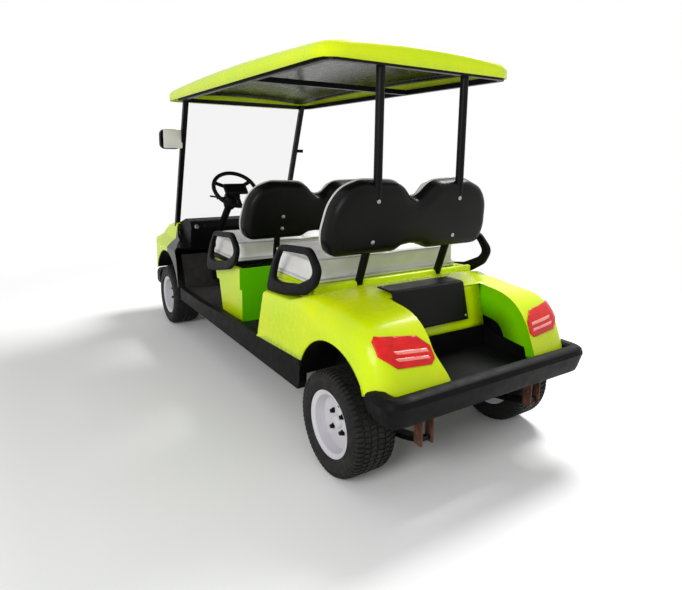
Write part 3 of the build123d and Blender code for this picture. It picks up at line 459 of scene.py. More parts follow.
def blown(bm, name, voxel, cap, hold):
    """Remesh a solid evenly and swell it as filled cloth; hold says how freely a point may move."""
    mesh = bpy.data.meshes.new(name)
    bm.to_mesh(mesh)
    bm.free()
    form = bpy.data.objects.new(name + "_form", mesh)
    scene.collection.objects.link(form)
    even = form.modifiers.new("even", "REMESH")
    even.mode = "VOXEL"
    even.voxel_size = voxel
    depsgraph = bpy.context.evaluated_depsgraph_get()
    even_mesh = bpy.data.meshes.new_from_object(form.evaluated_get(depsgraph))
    form.modifiers.clear()
    form.data = even_mesh
    rest = [v.co.copy() for v in even_mesh.vertices]
    cloth = form.modifiers.new("filling", "CLOTH")
    cloth.settings.quality = 4
    cloth.settings.use_pressure = True
    cloth.settings.uniform_pressure_force = 4.0
    cloth.settings.effector_weights.gravity = 0.0
    cloth.settings.tension_stiffness = 12.0
    cloth.settings.compression_stiffness = 12.0
    cloth.settings.bending_stiffness = 0.6
    cloth.point_cache.frame_start = 1
    cloth.point_cache.frame_end = filling_frames
    for step in range(1, filling_frames + 1):
        scene.frame_set(step)
    swollen = bpy.data.meshes.new_from_object(form.evaluated_get(bpy.context.evaluated_depsgraph_get()))
    moved = [v.co.copy() for v in swollen.vertices]
    bpy.data.meshes.remove(swollen)
    scene.frame_set(1)
    form.modifiers.clear()
    for vertex, old, new in zip(even_mesh.vertices, rest, moved):
        step = new - old
        if step.length > cap:
            step = step * (cap / step.length)
        vertex.co = old + step * hold(old)
    out = bmesh.new()
    out.from_mesh(even_mesh)
    bpy.data.objects.remove(form)
    return out


def dressed(bm, name, body, shift):
    """Padded piece from a swollen bmesh, set in its row."""
    row = bm.copy()
    bmesh.ops.translate(row, vec=shift, verts=row.verts)
    piece = piece_of(row, name, body, vinyl, 80.0)
    finer = piece.modifiers.new("finer", "SUBSURF")
    finer.levels = 1
    finer.render_levels = 1
    return piece


cushion_low, cushion_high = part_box("rear_seat_cushion")
cushion_mid_y = (cushion_low[1] + cushion_high[1]) / 2


def cushion_hold(co):
    # the base lies flat on its tray
    return min(1.0, max(0.0, (co.z - cushion_low[2] - 0.004) / 0.03))


solid = merged_copy("rear_seat_cushion")
middle = Vector(((cushion_low[0] + cushion_high[0]) / 2, cushion_mid_y, cushion_low[2]))
bmesh.ops.translate(solid, vec=-middle, verts=solid.verts)
bmesh.ops.scale(solid, vec=(0.978, 0.955, 0.90), verts=solid.verts)
bmesh.ops.translate(solid, vec=middle, verts=solid.verts)
cushion = blown(solid, "seat_cushion", 0.010, 0.022, cushion_hold)
sewn_along = (cushion_mid_y - 0.110, cushion_mid_y + 0.090)
top_z = max(v.co.z for v in cushion.verts)
for vertex in cushion.verts:
    x, y, z = vertex.co
    crown = max(0.0, min(1.0, (z - top_z + 0.045) / 0.03))
    dip = 0.010 * math.exp(-(x / 0.012) ** 2)
    for line in sewn_along:
        dip += 0.006 * math.exp(-((y - line) / 0.009) ** 2)
    vertex.co.z -= crown * dip
    # the underside stays just above its tray
    vertex.co.z = max(vertex.co.z, cushion_low[2] + 0.0006)
for row, shift in rows_at:
    piece = dressed(cushion, f"{row}_bench_cushion", f"{row}_seat_lid", shift)
    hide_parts(f"{row}_seat_cushion")
cushion_skin = bvhtree.BVHTree.FromBMesh(cushion)
cushion.free()


def piping_round(name, height, inset, row, shift, radius=0.0045):
    """Sewn piping round a cushion at one height, laid on the swollen cover."""
    half_x = (cushion_high[0] - cushion_low[0]) / 2 - inset
    half_y = (cushion_high[1] - cushion_low[1]) / 2 - inset
    corner = 0.05
    points = []
    for sx, sy, start in ((1, 1, 0.0), (-1, 1, 0.5), (-1, -1, 1.0), (1, -1, 1.5)):
        for k in range(5):
            a = math.pi * (start + 0.125 * k)
            points.append((
                sx * (half_x - corner) + corner * math.cos(a),
                cushion_mid_y + sy * (half_y - corner) + corner * math.sin(a)))
    dense = []
    for (x0, y0), (x1, y1) in zip(points, points[1:] + points[:1]):
        parts = max(1, int(math.hypot(x1 - x0, y1 - y0) / 0.06))
        dense += [(x0 + (x1 - x0) * k / parts, y0 + (y1 - y0) * k / parts) for k in range(parts)]
    laid = []
    for x, y in dense:
        at, normal, _, _ = cushion_skin.find_nearest(Vector((x, y, height)))
        at = at + normal * radius * 0.3
        laid.append((at.x + shift[0], at.y + shift[1], at.z + shift[2]))
    tube(name, laid, radius, f"{row}_seat_lid", edge_grey, True)


for row, shift in rows_at:
    piping_round(f"{row}_cushion_upper_piping", top_z - 0.018, 0.010, row, shift)
    piping_round(f"{row}_cushion_lower_piping", cushion_low[2] + 0.022, 0.010, row, shift)

# backrests: one pad per row, two lobes with upright channels
lean = math.radians(11.5)
back_origin = Vector((0.0, 0.980, 0.905))
back_up = Vector((0.0, math.sin(lean), math.cos(lean)))
back_out = Vector((0.0, -math.cos(lean), math.sin(lean)))


def back_hold(co):
    # the rear of the pad is held inside its shell
    forward = (co - back_origin).dot(back_out)
    return min(1.0, max(0.0, (forward - 0.004) / 0.014))


solid = merged_copy("seat_backs", lambda co: co.y > 0.55)
centre = back_origin + back_up * 0.17 + back_out * 0.02
grip = axes_from(centre, back_out)
bmesh.ops.transform(solid, matrix=grip.inverted(), verts=solid.verts)
bmesh.ops.scale(solid, vec=(0.935, 0.925, 0.90), verts=solid.verts)
bmesh.ops.transform(solid, matrix=grip, verts=solid.verts)
bmesh.ops.translate(solid, vec=back_out * -0.014, verts=solid.verts)
pad = blown(solid, "backrest_pad", 0.009, 0.016, back_hold)
for vertex in pad.verts:
    away = vertex.co - back_origin
    forward, height, x = away.dot(back_out), away.dot(back_up), vertex.co.x
    face = max(0.0, min(1.0, (forward - 0.035) / 0.012))
    dip = 0.012 * math.exp(-(x / 0.016) ** 2)
    for line in (0.120, 0.240, 0.360):
        dip += 0.006 * math.exp(-((abs(x) - line) / 0.009) ** 2)
    vertex.co -= back_out * face * dip
for row, shift in rows_at:
    piece = dressed(pad, f"{row}_backrest_pad", "cart", shift)
    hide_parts("seat_backs")
pad.free()


# ---- formed shells
def formed(bm, columns, rows, place):
    """Grid bent to a form: place takes a column and a row and gives the point."""
    made = bmesh.ops.create_grid(bm, x_segments=columns, y_segments=rows, size=1.0)["verts"]
    for vertex in made:
        column = round((vertex.co.x + 1.0) / 2.0 * columns)
        row = round((vertex.co.y + 1.0) / 2.0 * rows)
        vertex.co = place(column, row)
    return made


def eased(value, start, end):
    """0 before start, 1 after end, smooth between."""
    t = max(0.0, min(1.0, (value - start) / (end - start)))
    return t * t * (3.0 - 2.0 * t)


def rounded_line(points, radii, gap, closed=False, count=None):
    """Evenly stepped line through corner points, each corner rounded by its radius."""
    corners = [Vector(p) for p in points]
    bends = {}
    for k in range(len(corners)) if closed else range(1, len(corners) - 1):
        before, at, after = corners[k - 1], corners[k], corners[(k + 1) % len(corners)]
        a, b = (before - at).normalized(), (after - at).normalized()
        half = a.angle(b) / 2.0
        back = min(radii[k] / math.tan(half), 0.48 * (before - at).length, 0.48 * (after - at).length)
        start, end = at + a * back, at + b * back
        arc = []
        for step in range(9):
            t = step / 8.0
            arc.append(start * (1 - t) ** 2 + at * 2 * t * (1 - t) + end * t ** 2)
        bends[k] = arc
    line = []
    for k in range(len(corners)):
        line += bends.get(k, [corners[k]])
    if closed:
        line.append(line[0].copy())
    lengths = [0.0]
    for a, b in zip(line, line[1:]):
        lengths.append(lengths[-1] + (b - a).length)
    count = count or max(2, round(lengths[-1] / gap))
    spaced, k = [], 0
    for step in range(count + (0 if closed else 1)):
        want = lengths[-1] * step / count
        while k < len(line) - 2 and lengths[k + 1] < want:
            k += 1
        span = lengths[k + 1] - lengths[k]
        share = 0.0 if span < 1e-9 else (want - lengths[k]) / span
        spaced.append(line[k].lerp(line[k + 1], share))
    return spaced


def skinned(piece, thickness, offset=-1.0):
    """Give a formed shell its wall."""
    wall = piece.modifiers.new("wall", "SOLIDIFY")
    wall.thickness = thickness
    wall.offset = offset
    wall.use_even_offset = True
    return piece


def softened(piece, width):
    """Round the edges of a piece."""
    soft = piece.modifiers.new("soft", "BEVEL")
    soft.width, soft.segments, soft.limit_method = width, 2, "ANGLE"


def outward(bm, probe):
    """Turn a shell's faces so that the one nearest the probe looks at it."""
    bmesh.ops.recalc_face_normals(bm, faces=bm.faces)
    bm.normal_update()
    face = min(bm.faces, key=lambda f: (f.calc_center_median() - probe).length)
    if face.normal.dot(probe - face.calc_center_median()) < 0.0:
        bmesh.ops.reverse_faces(bm, faces=bm.faces)


# rear body: one moulded skin from the quarter panels over both haunches and down the tail
half_w = 0.575
well_x = 0.285
body_side = rounded_line(
    [(0.4555, 0.363), (0.548, 0.662), (0.850, 0.684), (1.000, 0.767), (1.130, 0.764), (1.470, 0.722),
     (1.594, 0.430)],
    [0.0, 0.022, 0.20, 0.34, 0.60, 0.34, 0.0], 0.020)
well_column = min(range(len(body_side)), key=lambda k: abs(body_side[k].x - 1.216) + (body_side[k].y < 0.7))
cross_x = (well_x, 0.330, 0.375, 0.415)
turn_steps = 8
arch_centre = Vector((rear_axle_y, 0.305))
arch_radius = 0.282
foot_knots = (
    # share of the way along the side, place along the sill and the arch
    (0.0, -0.16), (0.20, -0.01), (0.40, 0.253), (0.43, 0.30), (0.51, 0.426), (0.578, 0.56), (0.797, 0.852),
    (1.0, 1.0),
)


def body_foot(share):
    """Lower end of the side wall: along the sill, then round the wheel arch."""
    for (s0, t0), (s1, t1) in zip(foot_knots, foot_knots[1:]):
        if share <= s1:
            break
    t = t0 + (t1 - t0) * (share - s0) / (s1 - s0)
    if t < 0.30:
        return Vector((0.44 + (t + 0.16) / 0.46 * 0.49, 0.385))
    angle = math.radians(168.0 - (t - 0.30) / 0.70 * 156.0)
    return arch_centre + arch_radius * Vector((math.cos(angle), math.sin(angle)))


def body_section(column, hand=0):
    """One side of the section: from the middle of the cart out and down to the side's foot."""
    at = body_side[column]
    ahead = body_side[min(column + 1, len(body_side) - 1)]
    behind = body_side[max(column - 1, 0)]
    along = (ahead - behind).normalized()
    out = Vector((-along.y, along.x))
    full = eased(at.x, 0.84, 1.10)
    tail = eased(at.x, 1.22, 1.44)
    turn = 0.018 + 0.092 * full - 0.016 * tail
    fall = 0.046 * full - 0.014 * tail
    places = []
    flare = 0.055 * eased(-at.y, -0.62, -0.47) if at.x > 1.3 and hand > 0 else 0.0
    for x in cross_x:
        places.append((x - flare * (0.415 - x) / 0.13, fall * (x / half_w) ** 2))
    edge = half_w - turn
    places.append((edge - 0.004 if edge > 0.45 else edge, fall * (edge / half_w) ** 2))
    start = fall * (edge / half_w) ** 2
    for step in range(1, turn_steps + 1):
        angle = math.pi / 2 * step / turn_steps
        drop = start + turn * (1 - math.cos(angle)) + 0.25 * fall * step / turn_steps
        places.append((edge + turn * math.sin(angle), drop))
    points = [Vector((x, at.x - out.x * down, at.y - out.y * down)) for x, down in places]
    foot = body_foot(column / (len(body_side) - 1))
    last = points[-1]
    for step in (0.25, 0.5, 0.75, 1.0):
        points.append(Vector((half_w, last.y + (foot.x - last.y) * step, last.z + (foot.y - last.z) * step)))
    inner_x = well_x - flare + 0.002
    wall = [Vector((inner_x, at.x - out.x * down, at.y - out.y * down)) for down in (0.16, 0.06, 0.018)]
    return wall, points


def mirrored(points):
    return [Vector((-p.x, p.y, p.z)) for p in points]


body_rows = [body_section(k) for k in range(len(body_side))]
bm = bmesh.new()
middle_x = (0.0, 0.12, 0.22)
front_rows = []
for column in range(well_column + 1):
    at = body_side[column]
    points = body_rows[column][1]
    inner = [Vector((x, *(points[0].yz))) for x in middle_x]
    half = inner + points
    front_rows.append(list(reversed(mirrored(half[1:]))) + half)
formed(bm, well_column, len(front_rows[0]) - 1, lambda c, r: front_rows[c][r])
for hand in (1, -1):
    tail_rows = []
    for column in range(well_column, len(body_side)):
        wall, points = body_section(column, hand)
        row = wall + points
        tail_rows.append(row if hand == 1 else mirrored(row))
    formed(bm, len(tail_rows) - 1, len(tail_rows[0]) - 1, lambda c, r: tail_rows[c][r])
bmesh.ops.remove_doubles(bm, verts=bm.verts, dist=2e-4)
bmesh.ops.bisect_plane(
    bm, geom=bm.verts[:] + bm.edges[:] + bm.faces[:], plane_co=(0.0, 0.467, 0.401),
    plane_no=(0.0, 0.0515, -1.0), clear_outer=True)
outward(bm, Vector((0.0, 1.05, 2.0)))
body_skin = bvhtree.BVHTree.FromBMesh(bm)
body_shell = skinned(shell_piece(bm, "rear_body_shell", "cart", lime, 32.0), 0.005)
body_shell.modifiers["wall"].use_even_offset = False
body_shell.data.materials.append(lime_painted_shade)
# the bag well's inner side walls take the greener lime, which is painted shade
for face in body_shell.data.polygons:
    if abs(abs(face.center.x) - well_x) < 0.004 and face.center.y > 1.20 and abs(face.normal.x) > 0.8:
        face.material_index = 1
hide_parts("rear_body")

# wall at the front of the bag well, and the open base under the rear seat
bm = bmesh.new()
formed(bm, 6, 8, lambda c, r: Vector((
    well_x * (c / 3.0 - 1.0), 1.2120 + 0.0510 * r / 8.0, 0.744 - 0.212 * r / 8.0)))
outward(bm, Vector((0.0, 2.0, 0.8)))
skinned(shell_piece(bm, "bag_well_front_wall", "cart", lime), 0.004)
bm = bmesh.new()
base_half, base_front, base_back, base_top = 0.470, 0.548, 0.925, 0.724
base_wall, base_deep = 0.014, 0.224
base_end = (base_wall, base_back - base_front, base_deep)
base_end_y, base_mid_z = (base_front + base_back) / 2, base_top - base_deep / 2
for size, place in (
    ((2 * base_half, base_wall, base_deep), (0.0, base_front + base_wall / 2, base_mid_z)),
    ((2 * base_half, base_wall, 0.100), (0.0, base_back - base_wall / 2, base_top - 0.050)),
    (base_end, (base_half - base_wall / 2, base_end_y, base_mid_z)),
    (base_end, (-base_half + base_wall / 2, base_end_y, base_mid_z)),
):
    slab(bm, size, Matrix.Translation(place), 0.004, 3)
# lip round the seat lid, at the back and at both ends
slab(bm, (2 * 0.500, 0.030, 0.058), Matrix.Translation((0.0, 0.942, 0.733)), 0.010, 4)
for hand in (1, -1):
    slab(bm, (0.024, 0.330, 0.056), Matrix.Translation((0.503 * hand, 0.765, 0.716)) @ Matrix.Rotation(
        math.radians(3.0), 4, "X"), 0.010, 4)
piece_of(bm, "rear_seat_base", "cart", lime)

# moulded cover over the front of the well: flat top, rounded edge, leaning face
bm = bmesh.new()
cover_side = rounded_line([(1.1125, 0.7685), (1.224, 0.7670), (1.270, 0.590)], [0.0, 0.018, 0.0], 0.012)
cover_left, cover_right = 0.268, -0.166
formed(bm, len(cover_side) - 1, 20, lambda c, r: Vector((
    cover_left + (cover_right - cover_left) * r / 20.0, cover_side[c].x, cover_side[c].y)))
outward(bm, Vector((0.0, 2.2, 1.4)))
cover = skinned(shell_piece(bm, "bag_well_cover", "cart", black_shell), 0.006)
softened(cover, 0.002)
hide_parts("rear_access_cover")
bm = bmesh.new()
screw_head = ((0.006, -0.002), (0.006, 0.0015), (0.004, 0.0030))
for x in (cover_left - 0.016, cover_right + 0.016):
    drum(bm, screw_head, axes_from((x, 1.2665, 0.610), (0.0, 0.97, 0.25)), 12)
    drum(bm, screw_head, axes_from((x, 1.135, 0.7682), (0.0, 0.0, 1.0)), 12)
piece_of(bm, "bag_well_cover_screws", "cart", bolt_zinc)


# ---- canopy, bumpers and lamps
def ring_loop(half_x, low_y, high_y, corner, count):
    """Rounded rectangle in plan, always with the same number of points."""
    corners = [(half_x, high_y), (-half_x, high_y), (-half_x, low_y), (half_x, low_y)]
    return rounded_line(corners, [corner] * 4, 1.0, True, count)


def wrapped(bm, rings, cap_first=False, cap_last=False):
    """Closed loops joined in order, with flat ends where wanted."""
    count = len(rings[0])
    made = formed(bm, count, len(rings) - 1, lambda c, r: rings[r][c % count])
    bmesh.ops.remove_doubles(bm, verts=made, dist=1e-6)
    open_edges = [e for e in bm.edges if e.is_boundary]
    firsts = {tuple(round(c, 6) for c in p) for p in rings[0]}
    for wanted, first in ((cap_first, True), (cap_last, False)):
        if wanted:
            loop = [
                e for e in open_edges
                if all((tuple(round(c, 6) for c in v.co) in firsts) == first for v in e.verts)]
            bmesh.ops.edgeloop_fill(bm, edges=loop)


roof_w, roof_low_y, roof_high_y = 0.556, -1.110, 1.111
roof_edge = 0.034
roof_corner = 0.080
roof_points = 120


def roof_top(x, y):
    """Height of the crown, which falls away to all sides."""
    return 1.850 - (y - 0.280) ** 2 / 49.2 - 0.033 * (x / 0.586) ** 2


def roof_loop(inset):
    """Outline of the canopy in plan, drawn in from its edge."""
    corner = max(0.010, roof_corner - 0.5 * inset)
    return ring_loop(roof_w - inset, roof_low_y + inset, roof_high_y - inset, corner, roof_points)


roof_rings = []
for inset in (0.546, 0.46, 0.36, 0.26, 0.17, 0.10, 0.06, roof_edge):
    loop = roof_loop(inset)
    roof_rings.append([Vector((p.x, p.y, roof_top(p.x, p.y))) for p in loop])
for step in range(1, 8):
    angle = math.pi / 2 * step / 7
    inset = roof_edge * (1.0 - math.sin(angle))
    loop = roof_loop(inset)
    roof_rings.append([
        Vector((p.x, p.y, roof_top(p.x, p.y) - roof_edge * (1.0 - math.cos(angle)))) for p in loop])
loop = roof_loop(0.0)
roof_rings.append([Vector((p.x, p.y, 1.7285 + p.y * 0.01257)) for p in loop])
bm = bmesh.new()
wrapped(bm, roof_rings, cap_first=True)
outward(bm, Vector((0.0, 0.0, 4.0)))
roof_shell = skinned(shell_piece(bm, "canopy_shell", "cart", lime_roof, 40.0), 0.005)
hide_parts("roof_panel")

rear_bumper_cut = (
    (0.0, 0.460), (0.004, 0.448), (0.020, 0.392), (0.028, 0.374), (0.044, 0.368), (0.064, 0.372),
    (0.068, 0.480), (0.056, 0.489), (0.022, 0.489), (0.008, 0.481),
)
front_bumper_cut = (
    (0.0, 0.285), (0.0, 0.350), (0.005, 0.366), (0.018, 0.378), (0.046, 0.380), (0.046, 0.250),
    (0.018, 0.252), (0.005, 0.264),
)
for name, cut, half, tip, end, bend in (
    ("rear_bumper_shell", rear_bumper_cut, 0.588, 1.470, 1.640, 0.150),
    ("front_bumper_shell", front_bumper_cut, 0.560, -1.500, -1.640, 0.135),
):
    sign = 1.0 if end > 0 else -1.0
    rings = []
    route = rounded_line([(half, tip), (half, end), (-half, end), (-half, tip)], [0.0, bend, bend, 0.0], 0.03)
    for k, at in enumerate(route):
        ahead, behind = route[min(k + 1, len(route) - 1)], route[max(k - 1, 0)]
        along = (ahead - behind).normalized()
        inward = Vector((-along.y, along.x)) * sign
        squeeze = 1.0 if 0 < k < len(route) - 1 else 0.8
        rings.append([
            Vector((at.x + inward.x * d, at.y + inward.y * d, 0.43 + (z - 0.43) * squeeze if end > 0 else z))
            for d, z in cut])
    bm = bmesh.new()
    wrapped(bm, rings, cap_first=True, cap_last=True)
    bar = piece_of(bm, name, "cart", black_trim, 32.0)
    softened(bar, 0.003)
    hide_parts("bumpers")

lamp_edge = (
    (0.5300, 0.652), (0.5160, 0.668), (0.344, 0.655), (0.297, 0.618), (0.289, 0.572), (0.310, 0.552),
    (0.465, 0.559), (0.5300, 0.606),
)


def lamp_part(name, end, outline, lift, hand, columns, rows, material, wall, sharp=35.0):
    """Lens or bar of a lamp: an outline seen along the cart, laid on the skin at that end, on one side.

    end is (skin, where to look from in Y, least distance of a hit in Y, point that the outside faces).
    """
    skin, from_y, least_y, (probe_x, probe_y, probe_z) = end
    low_x, high_x = min(p[0] for p in outline), max(p[0] for p in outline)
    low_z, high_z = min(p[1] for p in outline), max(p[1] for p in outline)
    bm = bmesh.new()
    formed(bm, columns, rows, lambda c, r: Vector((
        low_x + (high_x - low_x) * c / columns, from_y, low_z + (high_z - low_z) * r / rows)))
    for (x0, z0), (x1, z1) in zip(outline, outline[1:] + outline[:1]):
        bmesh.ops.bisect_plane(
            bm, geom=bm.verts[:] + bm.edges[:] + bm.faces[:], plane_co=(x0, from_y, z0),
            plane_no=(z1 - z0, 0.0, x0 - x1), clear_outer=True)
    missed = []
    for vertex in bm.verts:
        hit, normal, _, _ = skin.ray_cast(vertex.co, Vector((0.0, -math.copysign(1.0, from_y), 0.0)))
        if hit and abs(hit.y) > least_y:
            vertex.co = hit + (normal if normal.y * from_y > 0 else -normal) * lift
        else:
            missed.append(vertex)
    bmesh.ops.delete(bm, geom=missed, context="VERTS")
    if hand < 0:
        bmesh.ops.scale(bm, vec=(-1.0, 1.0, 1.0), verts=bm.verts)
    outward(bm, Vector((probe_x * hand, probe_y, probe_z)))
    return skinned(shell_piece(bm, name, "cart", material, sharp), wall, 1.0)


tail_end = (body_skin, 2.2, 1.34, (0.35, 2.5, 0.62))
for side, hand in both_sides:
    lens = lamp_part(f"tail_lamp_{side}", tail_end, lamp_edge, 0.0015, hand, 44, 20, red_lens,
                     0.0055, 50.0)
    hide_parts("tail_lamps")
    # pale bars laid just outside each lens: lamp strips, made paler as a painted highlight
    for level, (z0, z1) in (("upper", (0.598, 0.610)), ("lower", (0.574, 0.586))):
        bar = ((0.470, z1 + 0.008), (0.318, z1), (0.312, z0), (0.455, z0 + 0.008))
        lamp_part(f"tail_lamp_{level}_bar_{side}", tail_end, bar, 0.0075, hand, 16, 3, lamp_bar_with_painted_highlight,
                  0.002)

# ---- backrest shells
lobe_half = (
    (0.0, 0.248), (0.040, 0.262), (0.105, 0.332), (0.320, 0.340), (0.415, 0.306), (0.464, 0.230),
    (0.487, 0.095), (0.462, 0.004), (0.100, 0.004), (0.060, 0.030), (0.0, 0.036),
)
lobe_corners = list(lobe_half) + [(-x, h) for x, h in reversed(lobe_half[1:-1])]
lobe_bends = [0.05, 0.10, 0.10, 0.12, 0.14, 0.16, 0.16, 0.075, 0.06, 0.06, 0.05]
lobe_bends += list(reversed(lobe_bends[1:-1]))
lobe_points = 150
lobe_line = rounded_line(lobe_corners, lobe_bends, 1.0, True, lobe_points)
lobe_out = []
for k, at in enumerate(lobe_line):
    along = (lobe_line[(k + 1) % lobe_points] - lobe_line[k - 1]).normalized()
    lobe_out.append(Vector((along.y, -along.x)))
if sum(at.dot(out) for at, out in zip(lobe_line, lobe_out)) - 0.18 * sum(out.y for out in lobe_out) < 0.0:
    lobe_out = [-out for out in lobe_out]


def on_back(x, height, forward, shift):
    """Point given along, up and out of the leaning back, in its row."""
    at = back_origin + back_up * height + back_out * forward
    return Vector((x, at.y + shift[1], at.z + shift[2]))


for row, shift in rows_at:
    rings = []
    for grow, forward in (
        (-0.004, 0.022), (0.004, 0.022), (0.005, 0.012), (0.004, -0.010), (0.001, -0.030), (-0.007, -0.043),
        (-0.018, -0.052), (-0.032, -0.0565), (-0.046, -0.058),
    ):
        rings.append([
            on_back(at.x + out.x * grow, at.y + out.y * grow, forward, shift)
            for at, out in zip(lobe_line, lobe_out)])
    bm = bmesh.new()
    wrapped(bm, rings, cap_last=True)
    outward(bm, Vector((0.0, 3.0 + shift[1], 1.1)))
    dish = shell_piece(bm, f"{row}_backrest_shell", "cart", black_shell, 50.0)
    dish = skinned(dish, 0.004)
    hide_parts("seat_shells")
    tube(f"{row}_backrest_piping", [
        on_back(at.x + out.x * 0.005, at.y + out.y * 0.005, 0.025, shift)
        for at, out in list(zip(lobe_line, lobe_out))[::2]], 0.0055, "cart", edge_grey, True)
    # flush bolts through the shell, two up each post
    bm = bmesh.new()
    heights = (0.262, 0.068) if row == "rear" else (0.146, 0.072)
    for x in (-0.251, 0.251):
        for height in heights:
            out = -back_out
            drum(bm, ((0.0105, -0.002), (0.0105, 0.002), (0.0085, 0.0035), (0.0030, 0.0040)),
                 axes_from(on_back(x, height, -0.058, shift), out), 18)
    piece_of(bm, f"{row}_backrest_bolts", "cart", bolt_zinc)

# ---- armrests
arm_outer = (
    (0.688, 0.922), (0.978, 0.948), (1.066, 0.858), (1.023, 0.778), (0.925, 0.718), (0.647, 0.660),
    (0.520, 0.655), (0.595, 0.817),
)
arm_hole = (
    (0.692, 0.890), (0.956, 0.912), (1.012, 0.852), (0.982, 0.812), (0.873, 0.762), (0.690, 0.733),
    (0.612, 0.736), (0.650, 0.835),
)
arm_points, arm_steps = 72, 20
outer_line = rounded_line(arm_outer, [0.07, 0.07, 0.05, 0.07, 0.09, 0.09, 0.03, 0.2], 1.0, True, arm_points)
hole_line = rounded_line(arm_hole, [0.03, 0.03, 0.03, 0.05, 0.07, 0.06, 0.02, 0.2], 1.0, True, arm_points)
for row, shift in rows_at:
    for side, hand in both_sides:
        rings = []
        for k in range(arm_steps):
            angle = math.tau * k / arm_steps
            spans = [math.copysign(abs(part) ** 0.55, part) for part in (math.cos(angle), math.sin(angle))]
            ring = []
            for o, i in zip(outer_line, hole_line):
                mid = (o + i) / 2 + (o - i) / 2 * spans[0]
                ring.append(Vector((hand * (0.5330 + 0.0140 * spans[1]), mid.x + shift[1], mid.y + shift[2])))
            rings.append(ring)
        rings.append([p.copy() for p in rings[0]])
        bm = bmesh.new()
        wrapped(bm, rings)
        loop_piece = piece_of(bm, f"{row}_armrest_{side}", "cart", black_trim, 50.0)
        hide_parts("armrests")


# ---- mirror, steering, dashboard and headlamps
mirror_rear = max(v.co.y for v in nodes["mirrors"].data.vertices if v.co.x > 0.50 and v.co.z > 1.38)
bm = bmesh.new()
slab(bm, (0.136, 0.006, 0.132), Matrix.Translation((0.549, mirror_rear + 0.0025, 1.445)), 0.0028, 3)
piece_of(bm, "mirror_face", "cart", mirror_cream)

wheel_centre = Vector((0.24, -0.61, 1.097))
wheel_axis = Vector((0.0, 0.70711, 0.70711))
bm = bmesh.new()
drum(bm, ((0.026, -0.190), (0.040, -0.180), (0.054, -0.130), (0.058, -0.085), (0.052, -0.062),
          (0.036, -0.056)), axes_from(wheel_centre, wheel_axis), 28)
piece_of(bm, "column_shroud", "cart", black_shell)
bm = bmesh.new()
slab(bm, (0.170, 0.092, 0.026), axes_from(wheel_centre + wheel_axis * 0.004, wheel_axis), 0.012, 4)
piece_of(bm, "steering_hub_pad", "steering_wheel_body", black_shell)
stalk_root = wheel_centre - wheel_axis * 0.090
tube("column_stalk", [stalk_root + Vector(step) for step in (
    (0.045, 0.0, 0.0), (0.090, 0.006, 0.004), (0.135, 0.012, 0.012), (0.168, 0.016, 0.018))],
    0.0065, "cart", black_shell)

dash = merged_copy("dashboard")
dash_skin = bvhtree.BVHTree.FromBMesh(dash)
dash.free()


def on_dash(x, z):
    """Place and outward direction on the dashboard's rear face."""
    hit, normal, _, _ = dash_skin.ray_cast(Vector((x, -0.30, z)), Vector((0.0, -1.0, 0.0)))
    return hit, (normal if normal.y > 0 else -normal)


dash_line_z = 0.80
gauge_rings = ((0.031, -0.002), (0.031, 0.004), (0.027, 0.007), (0.025, 0.004))
key_rings = ((0.016, -0.002), (0.016, 0.005), (0.011, 0.010), (0.004, 0.011))
switch_rings = ((0.014, -0.002), (0.014, 0.004), (0.009, 0.012), (0.006, 0.014))
for name, x, rings, finish in (
        ("charge_gauge", 0.02, gauge_rings, lamp_bar_with_painted_highlight), ("key_switch", 0.42, key_rings, bolt_zinc),
        ("direction_switch", 0.36, switch_rings, black_shell)):
    place, out = on_dash(x, dash_line_z)
    if place:
        bm = bmesh.new()
        drum(bm, rings, axes_from(place, out), 24)
        piece_of(bm, name, "cart", finish)

cowl = merged_copy("front_cowl")
cowl_tree = bvhtree.BVHTree.FromBMesh(cowl)
cowl.free()


nose_end = (cowl_tree, -2.2, 0.0, (0.40, -2.6, 0.55))
nose_lamp = ((0.490, 0.592), (0.330, 0.584), (0.300, 0.560), (0.310, 0.512), (0.345, 0.502), (0.480, 0.508))
nose_lens = ((0.478, 0.582), (0.338, 0.575), (0.314, 0.556), (0.322, 0.520), (0.350, 0.511), (0.468, 0.517))
for side, hand in both_sides:
    lens = lamp_part(f"headlamp_{side}", nose_end, nose_lamp, 0.0015, hand, 24, 12, black_shell,
                     0.0045, 50.0)
    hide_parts("headlamps")
    lamp_part(f"headlamp_lens_{side}", nose_end, nose_lens, 0.0065, hand, 24, 12, lamp_clear,
              0.002, 50.0)

# ---- floor, light and camera
floor_material, tree, shader, place = tree_of("studio_floor")
given(shader, Base_Color=(0.93, 0.93, 0.93, 1.0), Roughness=0.9, Specular_IOR_Level=0.1)
bpy.ops.mesh.primitive_plane_add(size=60.0, location=(0.0, 0.0, 0.0))
floor = bpy.context.object
floor.name = "studio_floor"
floor.data.materials.append(floor_material)
bright = (1.0, 1.0, 1.0, 1.0)
white = given(tree.nodes.new("ShaderNodeEmission"), Color=bright, Strength=1.0)
far = tree.nodes.new("ShaderNodeVectorMath")
far.operation = "LENGTH"
tree.links.new(place, far.inputs[0])
fade = spread(tree, far.outputs["Value"], 0.0, 1.0, 2.6, 4.2)
floor_mix = tree.nodes.new("ShaderNodeMixShader")
tree.links.new(fade, floor_mix.inputs["Fac"])
tree.links.new(shader.outputs["BSDF"], floor_mix.inputs[1])
tree.links.new(white.outputs["Emission"], floor_mix.inputs[2])
tree.links.new(floor_mix.outputs["Shader"], tree.nodes["Material Output"].inputs["Surface"])

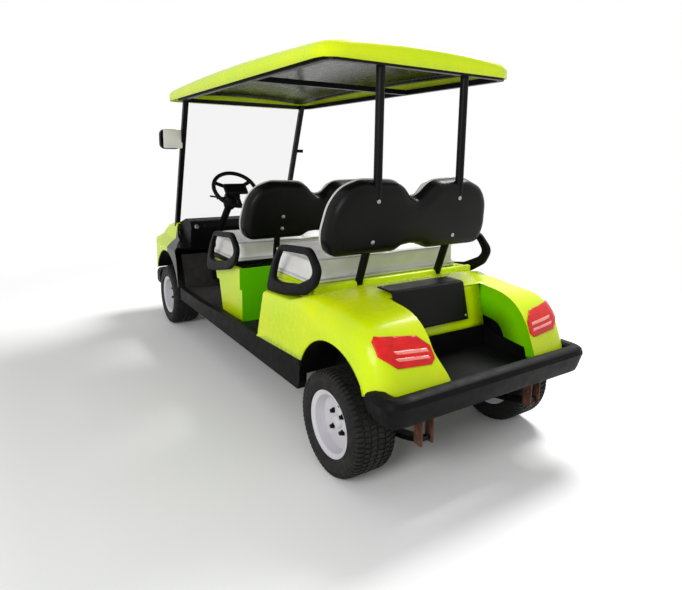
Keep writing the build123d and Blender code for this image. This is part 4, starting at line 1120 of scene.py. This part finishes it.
world = bpy.data.worlds.new("studio")
scene.world = world
world.use_nodes = True
sky = world.node_tree
ambient = given(sky.nodes["Background"], Color=bright, Strength=0.50)
backdrop = given(sky.nodes.new("ShaderNodeBackground"), Color=bright, Strength=1.0)
rays = sky.nodes.new("ShaderNodeLightPath")
seen, seen_through = sky.nodes.new("ShaderNodeMath"), sky.nodes.new("ShaderNodeMath")
seen.operation = seen_through.operation = "MAXIMUM"
sky_mix = sky.nodes.new("ShaderNodeMixShader")
for source, target in (
    (rays.outputs["Is Glossy Ray"], seen_through.inputs[0]),
    (rays.outputs["Is Transmission Ray"], seen_through.inputs[1]),
    (rays.outputs["Is Camera Ray"], seen.inputs[0]),
    (seen_through.outputs["Value"], seen.inputs[1]),
    (seen.outputs["Value"], sky_mix.inputs["Fac"]),
    (ambient.outputs["Background"], sky_mix.inputs[1]),
    (backdrop.outputs["Background"], sky_mix.inputs[2]),
    (sky_mix.outputs["Shader"], sky.nodes["World Output"].inputs["Surface"]),
):
    sky.links.new(source, target)


def area_lamp(name, at, towards, size, power):
    """Round soft light, turned towards a point."""
    data = bpy.data.lights.new(name, "AREA")
    data.shape = "DISK"
    data.size = size
    data.energy = power
    lamp = bpy.data.objects.new(name, data)
    scene.collection.objects.link(lamp)
    lamp.location = at
    lamp.rotation_euler = (Vector(towards) - Vector(at)).to_track_quat("-Z", "Y").to_euler()


area_lamp("overhead_softbox", (-3.2, -0.6, 5.4), (0.0, 0.2, 0.4), 2.6, 420.0)
area_lamp("rear_left_softbox", (4.6, 3.4, 3.0), (0.3, 0.8, 0.5), 2.6, 150.0)

camera_data = bpy.data.cameras.new("camera")
camera = bpy.data.objects.new("camera", camera_data)
scene.collection.objects.link(camera)
scene.camera = camera
camera_data.sensor_fit = "HORIZONTAL"
picture_w, picture_h, film_w = 682.0, 590.0, 36.0
focal, centre_x, centre_y = 539.66, 341.83, 245.15
camera_data.sensor_width = film_w
camera_data.lens = focal / picture_w * film_w
camera_data.shift_x = (picture_w / 2 - centre_x) / picture_w
camera_data.shift_y = (centre_y - picture_h / 2) / picture_w
camera_data.clip_start = 0.05
look = Vector((-0.54050614, -0.82428746, -0.16853280))
across = Vector((-0.83751782, 0.54621768, 0.01449654))
upward = Vector((-0.08010628, -0.14898469, 0.98558944))
camera.matrix_world = Matrix.Translation((1.70655, 3.01267, 1.36272)) @ Matrix(
    (across, upward, -look)).transposed().to_4x4()

scene.view_settings.view_transform = "Standard"
